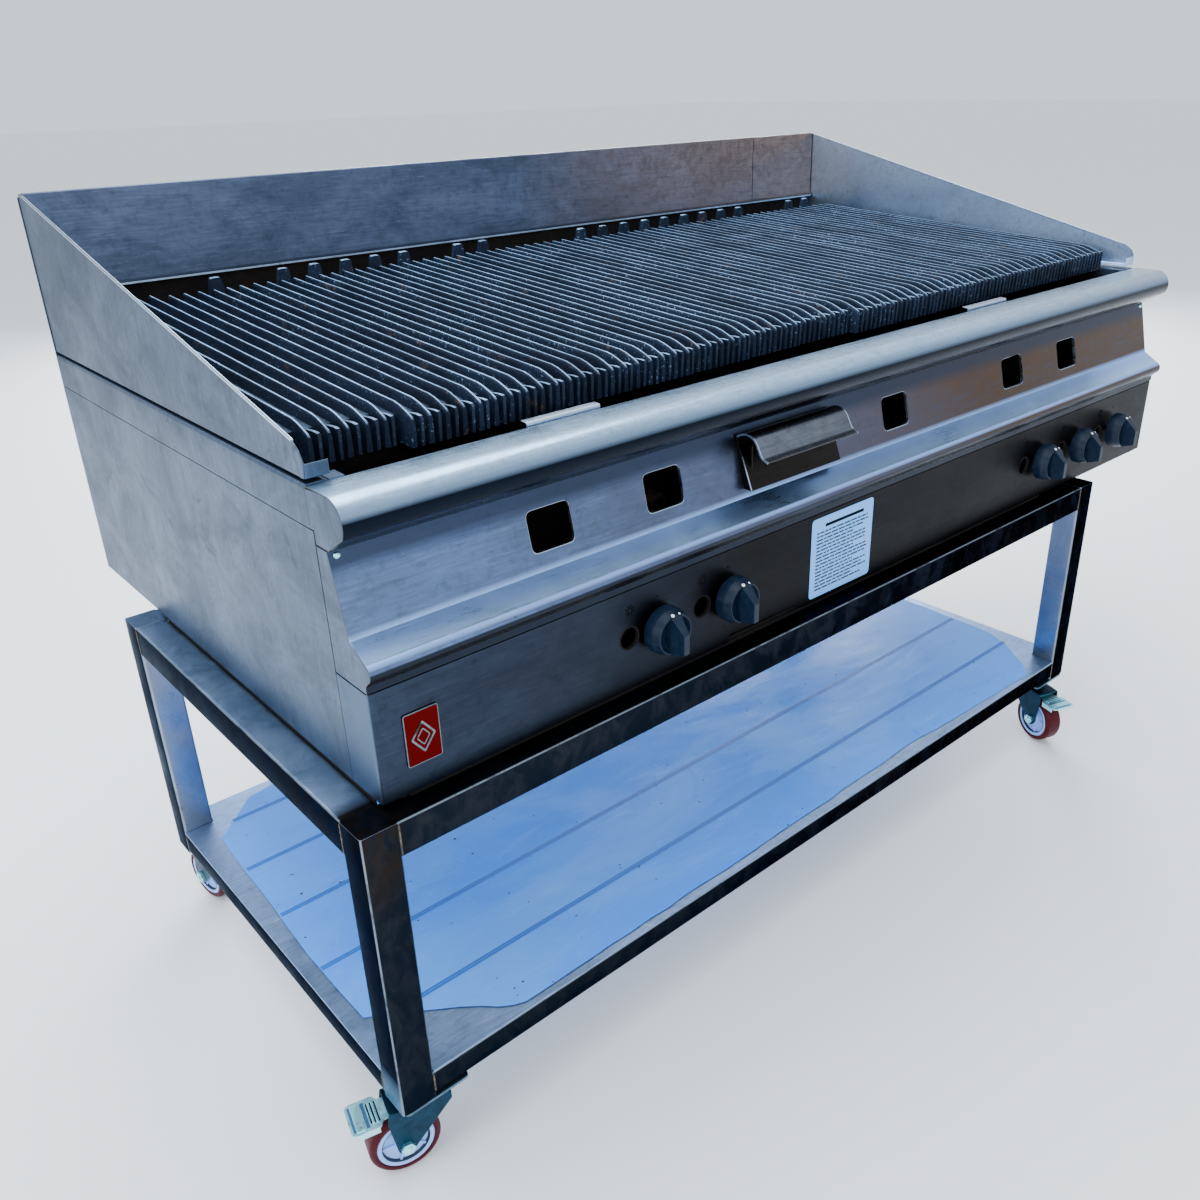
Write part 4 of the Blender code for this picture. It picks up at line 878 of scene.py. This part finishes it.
def make_marks():
    """Small printed marks: a spark over each sight hole, and a dot and a flame box beside each knob."""
    bm = bmesh.new()
    back, front = -0.0003, -0.0001
    for x in SIGHT_X:
        for k in range(8):
            ray = Matrix.Translation((x + 0.001, 0, KNOB_Z + 0.033)) @ Matrix.Rotation(
                math.radians(22 + 45 * k), 4, "Y")
            verts = add_box(bm, (0.0024, back, -0.0008), (0.007, front, 0.0008))
            bmesh.ops.transform(bm, matrix=ray, verts=verts)
    lines = (((0, 0), (0.006, 0.0007)), ((0, 0.009), (0.006, 0.0097)), ((0, 0), (0.0007, 0.009)),
             ((0.0053, 0), (0.006, 0.0097)), ((0.0015, 0.0042), (0.004, 0.0049)))
    for node, centre in zip(KNOBS, KNOB_CENTRES):
        high = local_box(node)[1]
        add_box(bm, (centre.x - 0.001, back, high.z + 0.008), (centre.x + 0.001, front, high.z + 0.01))
        x, z = high.x + 0.0045, KNOB_Z - 0.007
        for a, b in lines:
            add_box(bm, (x + a[0], back, z + a[1]), (x + b[0], front, z + b[1]))
    piece("fascia_marks", bm, "ink", "fascia_steel")


# ---------------------------------------------------------------- grate

def add_blade(bm, x, stations, bottom):
    """One blade lofted through cross-sections that narrow towards its worn top edge."""
    rings = []
    for y, top in stations:
        half = [(0.003, bottom(y)), (0.0021, top - 0.004), (0.0017, top - 0.001), (0.00085, top)]
        rings.append([(x - dx, y, z) for dx, z in half] + [(x + dx, y, z) for dx, z in half[::-1]])
    add_tube_skin(bm, rings)


def make_branders():
    """Castings with worn, slightly uneven blades, thin ribs between them at the front, and lifting lugs."""
    plate, under, tooth = -0.0125, -0.0275, -0.0385
    end = BRANDER_LENGTH - 0.0005
    nose = [(0.0012, -0.0104), (0.004, -0.0078), (0.014, -0.0046), (0.024, -0.0018), (0.034, -0.0003)]
    ribs = [(0.001, tooth), (0.001, -0.0118), (0.003, -0.0092), (0.01, -0.0092), (0.034, plate),
            (0.034, under), (0.029, under), (0.027, tooth)]
    for index, node in enumerate(BRANDERS):
        random.seed(100 + index)
        low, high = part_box(node)
        width = high.x - low.x
        y = low.y - 0.0006
        z = DATUM.z + GRATE_FRONT[1] + (y - DATUM.y - GRATE_FRONT[0]) * math.tan(GRATE_SLOPE)
        origin = Matrix.Translation(((low.x + high.x) / 2, y, z)) @ Matrix.Rotation(GRATE_SLOPE, 4, "X")
        pitch = (width + BRANDER_GAP) / BLADES
        bm = bmesh.new()
        for k in range(BLADES):
            x = (k - (BLADES - 1) / 2) * pitch + random.uniform(-0.0003, 0.0003)
            droop = random.uniform(0, 0.001)
            uneven = [(y / 1000, -random.uniform(0, 0.0005)) for y in range(60, 580, 40)]
            stations = [(y, z - droop) for y, z in [*nose, *uneven, (end, 0)]]
            add_blade(bm, x, stations, lambda y: tooth if y < 0.03 else under)
            rib = width / 2 - RIB_HALF - 0.0003 if k == BLADES - 1 else x + pitch / 2
            add_prism(bm, ribs, "X", rib - RIB_HALF, rib + RIB_HALF)
        add_box(bm, (-width / 2 + 0.0004, 0.03, under), (width / 2 - 0.0004, end, plate))
        for side in LUG_SIDES[index]:
            centre = side * (width + BRANDER_GAP) / 4
            lug = rounded([(centre - 0.0135, -0.024), (centre + 0.0135, -0.024), (centre + 0.007, 0.0145),
                           (centre - 0.007, 0.0145)], 0.003, 3)
            add_prism(bm, lug, "Y", BRANDER_LENGTH - 0.0038, BRANDER_LENGTH + 0.0038)
        name = f"casting_{index + 1:02d}"
        piece(name, bm, "brander", "brander_iron", body_of(node), [node], origin, sharp=45)


# ---------------------------------------------------------------- stand and castors

def swivel_centre(name):
    return Vector(JOINTS[f"{name}_swivel"]["pos_m"]) - DATUM


def make_stand(shelf):
    """Square tube with rounded edges, and plates over the castors; shelf is the shelf's height."""
    (x0, x1), (y0, y1) = STAND_X, STAND_Y
    play, overlap = 0.0004, 0.002
    bm, plates = bmesh.new(), bmesh.new()
    for x in (x0, x1 - TUBE):
        for y in (y0, y1 - TUBE):
            add_prism(bm, rectangle(x, y, x + TUBE, y + TUBE, 0.0035), "Z", FOOT, STAND_TOP)
    for z, size in ((STAND_TOP - TUBE, TUBE), (shelf - RAIL - play, RAIL)):
        for axis, (near, far), (start, end) in (("X", STAND_Y, STAND_X), ("Y", STAND_X, STAND_Y)):
            for side in (near + play, far - size - play):
                add_prism(bm, rectangle(side, z, side + size, z + size - play, 0.0032), axis,
                          start + TUBE - overlap, end - TUBE + overlap)
    for name in CASTORS:
        x, y, _ = swivel_centre(name)
        plate = rectangle(x - 0.039, y - 0.033, x + 0.039, y + 0.033, 0.006)
        add_prism(plates, plate, "Z", FOOT - 0.003, FOOT)
    piece("stand_tubes", bm, "stand", "stand_steel", nodes=["stand_frame"], bevel=0.0003, sharp=30)
    piece("castor_plates", plates, "plate", "castor_zinc", bevel=0.0004)


def add_bead(bm, start, end, radius=0.0022):
    """A rippled weld bead between two points."""
    start, end = Vector(start), Vector(end)
    count = max(6, int((end - start).length / 0.0035))
    axis = (end - start).normalized()
    side = axis.orthogonal().normalized()
    other = axis.cross(side)
    rings = []
    for i in range(count + 1):
        size = radius * (0.8 + 0.28 * (i % 2)) * (0.5 if i in (0, count) else 1.0)
        centre = start.lerp(end, i / count)
        rings.append([centre + (side * math.cos(a) + other * math.sin(a)) * size
                      for a in (math.tau * k / 8 for k in range(8))])
    add_tube_skin(bm, rings)


def make_welds(shelf):
    """Beads up the sides of each rail's end and under it, and across the castor plates."""
    (x0, x1), (y0, y1) = STAND_X, STAND_Y
    bm = bmesh.new()
    for z0, z1, size in ((STAND_TOP - TUBE, STAND_TOP, TUBE), (shelf - RAIL, shelf - 0.001, RAIL)):
        def faces(low, high):
            return low + 0.001, low + size - 0.0005, high - size + 0.0005, high - 0.001
        for x in (x0 + TUBE, x1 - TUBE):
            for y in faces(y0, y1):
                add_bead(bm, (x, y, z0 + 0.002), (x, y, z1 - 0.002), 0.0013)
            add_bead(bm, (x, y0 + 0.003, z0 + 0.0005), (x, y0 + size - 0.003, z0 + 0.0005), 0.0018)
        for y in (y0 + TUBE, y1 - TUBE):
            for x in faces(x0, x1):
                add_bead(bm, (x, y, z0 + 0.002), (x, y, z1 - 0.002), 0.0013)
    for name in CASTORS:
        centre = swivel_centre(name)
        x = x0 + TUBE if centre.x < (x0 + x1) / 2 else x1 - TUBE
        y = y0 if centre.y < (y0 + y1) / 2 else y1 - TUBE
        add_bead(bm, (x, y + 0.004, FOOT + 0.0005), (x, y + TUBE - 0.004, FOOT + 0.0005))
    piece("stand_welds", bm, "weld", "stand_steel", sharp=60)


def make_shelf():
    """Notched shelf sheet and the torn protective film with its printed lines."""
    low, high = local_box("undershelf")
    notch, top = 0.0404, high.z
    x0, x1, y0, y1 = low.x + notch, high.x - notch, low.y + notch, high.y - notch
    outline = [(x0, low.y), (x1, low.y), (x1, y0), (high.x, y0), (high.x, y1), (x1, y1),
               (x1, high.y), (x0, high.y), (x0, y1), (low.x, y1), (low.x, y0), (x0, y0)]
    prisms("shelf_sheet", outline, "Z", [(low.z, high.z)], "shelf", "shelf_steel", nodes=["undershelf"],
           bevel=0.0004)
    edge = [(0.129, -0.015), (0.666, -0.01), (0.863, -0.004), (0.96, -0.01), (1.182, -0.017),
            (1.209, 0.007), (1.256, 0.068), (1.272, 0.11), (1.277, 0.3), (1.262, 0.56), (0.098, 0.574),
            (0.059, 0.566), (-0.006, 0.502), (-0.01, 0.416), (-0.02, 0.185), (-0.017, 0.089),
            (0.032, 0.055), (0.072, 0.028), (0.102, -0.002)]
    random.seed(11)
    torn = []
    for (ax, ay), (bx, by) in zip(edge, edge[1:] + edge[:1]):
        count = max(2, int(math.dist((ax, ay), (bx, by)) / 0.03))
        for i in range(count):
            t = i / count
            torn.append((ax + (bx - ax) * t + random.uniform(-0.0012, 0.0012),
                         ay + (by - ay) * t + random.uniform(-0.0012, 0.0012)))
    prisms("shelf_film", torn, "Z", [(top + 0.0001, top + 0.0004)], "film", "shelf_steel", sharp=60)
    lines = []
    for y, start, end in ((0.072, 0.012, 1.257), (0.187, -0.018, 1.273), (0.304, -0.013, 1.275),
                          (0.416, -0.008, 1.27), (0.53, 0.022, 1.262)):
        for middle in (y - 0.0019, y + 0.0019):
            lines.append(((start, middle - 0.0015, top + 0.0004), (end, middle + 0.0015, top + 0.0006)))
    boxes("film_lines", lines, "film_line", "shelf_steel")


def castor_piece(name, part, bm, material, slot, body, matrix, **settings):
    """A piece of one castor, in place of the CAD node of that name if there is one."""
    node = f"castor_{name}_{part}"
    nodes = [node] if node in frame["nodes"] else ()
    piece(f"{name}_{part}", bm, material, slot, f"{name}_{body}", nodes, matrix, **settings)


def make_castor(name):
    """A castor in its own space, with +X towards its wheel and z = 0 at the leg's foot."""
    head = Vector(JOINTS[f"{name}_swivel"]["pos_m"])
    wheel = Vector(JOINTS[f"{name}_roll"]["pos_m"])
    heading = math.atan2(wheel.y - head.y, wheel.x - head.x)
    matrix = Matrix.Translation(head) @ Matrix.Rotation(heading, 4, "Z")
    trail, axle_z = (wheel - head).xy.length, wheel.z - head.z
    side = upright(trail, 0, axle_z)
    make_wheel(name, matrix, side)
    make_fork(name, matrix, trail, axle_z, side)
    if f"castor_{name}_pedal" in frame["nodes"]:
        make_pedal(name, matrix)


def make_wheel(name, matrix, side):
    """Rounded tyre, and a hub with five ribs and a ring line on each face."""
    tyre, hub, rings = bmesh.new(), bmesh.new(), bmesh.new()
    outer, inner, half, crown, face = 0.04, 0.0325, 0.015, 0.006, 0.0143
    tread = arc((outer - crown, half - crown), crown, 90, 0, 8)
    add_turned(tyre, mirrored([(inner, half - 0.0006), *tread]), side, 96)
    castor_piece(name, "tyre", tyre, "tyre", "castor_tyre", "wheel", matrix)
    profile = [(0.0054, 0.001), (0.0105, 0), (0.012, 0.0012), (0.0125, 0.0048), (0.023, 0.0052),
               (0.0255, 0.004), (0.0265, 0.001), (0.028, 0), (0.031, 0), (0.0321, 0.001)]
    add_turned(hub, mirrored([(radius, face - depth) for radius, depth in profile]), side, 96)
    for k in range(5):
        for flip in (0, math.pi):
            verts = add_box(hub, (0.0115, -0.0012, 0.007), (0.0262, 0.0012, face - 0.0022))
            turn = Matrix.Rotation(flip, 4, "X") @ Matrix.Rotation(math.tau * k / 5, 4, "Z")
            bmesh.ops.transform(hub, matrix=side @ turn, verts=verts)
    castor_piece(name, "hub", hub, "hub", "castor_hub", "wheel", matrix, sharp=40)
    line = [(0.0251, 0.0038), (0.0263, 0.0003), (0.0268, 0.0006), (0.0256, 0.0044)]
    for sign in (1, -1):
        add_turned(rings, [(radius, sign * (face - depth)) for radius, depth in line], side, 72)
    castor_piece(name, "hub_rings", rings, "grey_ink", "castor_hub", "wheel", matrix)


def make_fork(name, matrix, trail, axle_z, side):
    """Swivel head with its race, crown, two pressed cheeks, axle and nuts."""
    bm, axle = bmesh.new(), bmesh.new()
    head = [(0.0002, -0.0035), (0.0205, -0.0035), (0.021, -0.005), (0.019, -0.0062), (0.0228, -0.0075),
            (0.0236, -0.01), (0.0225, -0.0125), (0.018, -0.016), (0.0002, -0.016)]
    add_turned(bm, head, steps=64)
    half, plate, crown, back, front = 0.0195, 0.0025, -0.015, -0.0245, 0.0445
    add_prism(bm, rectangle(back, -half, front, half, 0.006), "Z", crown - 0.0028, crown)
    cheek = [(back, crown - 0.0004), (back, -0.026), *arc((trail, axle_z), 0.0105, 215, 350, 14),
             (0.0465, -0.03), (front, crown - 0.0004)]
    for y in (-half, half - plate):
        add_prism(bm, rounded(cheek, 0.0012, 2), "Y", y, y + plate)
    castor_piece(name, "fork", bm, "dark_zinc", "castor_zinc", "fork", matrix, bevel=0.0007)
    pin = [(0.0002, 0.0078), (0.003, 0.0078), (0.004, 0.0068), (0.0049, 0)]
    add_turned(axle, mirrored([(radius, half + out) for radius, out in pin]), side, 24)
    nut = [(0.0082 * math.cos(math.tau * k / 6), 0.0082 * math.sin(math.tau * k / 6)) for k in range(6)]
    for sign in (1, -1):
        verts = add_prism(axle, nut, "Z", sign * half, sign * (half + 0.005))
        bmesh.ops.transform(axle, matrix=side, verts=verts)
    castor_piece(name, "axle", axle, "zinc", "castor_zinc", "fork", matrix, bevel=0.0005)


def make_pedal(name, matrix):
    """Pressing with sides turned down, ribs, a raised pad at its tip, and dark strips across it as painted shade.
    """
    origin = matrix.inverted() @ Vector(JOINTS[f"{name}_brake_pedal"]["pos_m"])
    place = matrix @ Matrix.Translation(origin)
    reach, arm, pad = 0.0485, 0.0143, 0.0215
    bm, slot_shades, painted_light_bands = bmesh.new(), bmesh.new(), bmesh.new()
    outline = [(-0.004, -arm), (0.0145, -arm), (0.017, -pad), (reach, -pad), (reach, pad), (0.017, pad),
               (0.0145, arm), (-0.004, arm)]
    add_prism(bm, rounded(outline, 0.007, 5), "Z", -0.0012, 0.0003)
    for x0, x1, half in ((0.0185, 0.0205, 0.014), (0.0225, 0.0245, 0.014), (0.033, 0.042, 0.018)):
        add_prism(bm, rectangle(x0, -half, x1, half, 0.001), "Z", 0.0002, 0.0014)
    for y in (-pad, pad - 0.0016):
        add_box(bm, (0.019, y, -0.0078), (reach - 0.007, y + 0.0016, -0.0008))
    add_turned(bm, mirrored([(0.0002, 0.015), (0.0028, 0.015)]), upright(), 20)
    castor_piece(name, "pedal", bm, "zinc", "castor_zinc", "brake", place, bevel=0.0004)
    # Painted shade: dark strips laid on top where the slots are.
    for x in (0.0172, 0.0215, 0.0258):
        add_box(slot_shades, (x - 0.0008, -0.0135, 0.0002), (x + 0.0008, 0.0135, 0.0005))
    castor_piece(name, "pedal_slots", slot_shades, "dark_zinc", "castor_zinc", "brake", place)
    # Painted shade: darker zinc bands laid on top between the ribs.
    for x0, x1 in ((0.0282, 0.0318), (0.043, 0.0456)):
        add_box(painted_light_bands, (x0, -0.017, 0.0002), (x1, 0.017, 0.0005))
    castor_piece(name, "pedal_bands", painted_light_bands, "recess_shade", "castor_zinc", "brake", place)


# ---------------------------------------------------------------- carried-over nodes, floor, light, camera

def finish_frame_nodes():
    """Gives the CAD nodes that show as they are their detailed materials."""
    finishes = {"left_side_panel": "casing", "right_side_panel": "casing", "rear_panel": "casing",
                "base_pan": "soot", "firebox": "soot", "gas_manifold": "pipe"}
    for i in range(1, 6):
        finishes |= {f"burner_{i}": "burner", f"tap_spindle_{i}": "pipe"}
    for node, material in finishes.items():
        mesh = frame["nodes"][node].data
        mesh.materials.clear()
        mesh.materials.append(MATERIALS[material])


def area_light(name, location, target, size, power, colour):
    data = bpy.data.lights.new(name, "AREA")
    data.shape = "RECTANGLE"
    data.size, data.size_y = size
    data.energy = power
    data.color = colour
    light = placed(name, data)
    light.location = location
    light.rotation_euler = (Vector(target) - Vector(location)).to_track_quat("-Z", "Y").to_euler()


def make_stage():
    """Pale floor, pale surroundings and soft area lights."""
    bm = bmesh.new()
    bmesh.ops.create_grid(bm, x_segments=1, y_segments=1, size=40)
    floor = placed("floor", bm)
    floor.location.z = -0.0005
    floor.data.materials.append(Shader("floor_paint", (0.9, 0.91, 0.92), 0.6).material)
    world = bpy.data.worlds.new("studio")
    bpy.context.scene.world = world
    world.use_nodes = True
    background = world.node_tree.nodes["Background"]
    background.inputs["Color"].default_value = (0.84, 0.91, 1.0, 1)
    background.inputs["Strength"].default_value = 1.25
    area_light("overhead", (-0.4, 0.6, 3.2), (0, 0, 0.6), (4.0, 3.0), 170, (0.84, 0.92, 1.0))
    area_light("front_fill", (-1.2, -3.4, 1.7), (0.0, 0, 0.5), (3.0, 2.0), 45, (1.0, 0.97, 0.94))
    area_light("left_side", (-3.6, -0.4, 1.6), (0, 0, 0.6), (2.5, 2.2), 60, (0.9, 0.95, 1.0))
    area_light("shelf_fill", (2.6, 3.2, 0.7), (0.0, 0, 0.15), (3.0, 1.2), 560, (0.88, 0.94, 1.0))


def make_camera():
    """The view is from the front left, a little above the hob."""
    data = bpy.data.cameras.new("camera")
    data.lens = 36 * 1077.05 / 1200
    data.sensor_width = 36
    data.shift_x, data.shift_y = -0.0209, -0.0129
    camera = placed("camera", data)
    forward = Vector((0.5912393, 0.68595086, -0.42415504)).normalized()
    right = Vector((0.7495431, -0.66148482, -0.0249596)).normalized()
    turn = Matrix((right, right.cross(forward), -forward)).transposed().to_4x4()
    camera.matrix_world = Matrix.Translation(DATUM + Vector((-0.36166, -0.7724, 0.60532))) @ turn
    bpy.context.scene.camera = camera


make_hob()
make_vent_panel()
make_fascia()
make_clips()
make_nose_screws()
make_base_shade_strip()
make_splash()
make_drawer()
make_knobs()
make_badge()
make_label()
make_marks()
make_branders()
SHELF_BOTTOM = local_box("undershelf")[0].z
make_stand(SHELF_BOTTOM)
make_welds(SHELF_BOTTOM)
make_shelf()
for castor in CASTORS:
    make_castor(castor)
finish_frame_nodes()
make_stage()
make_camera()
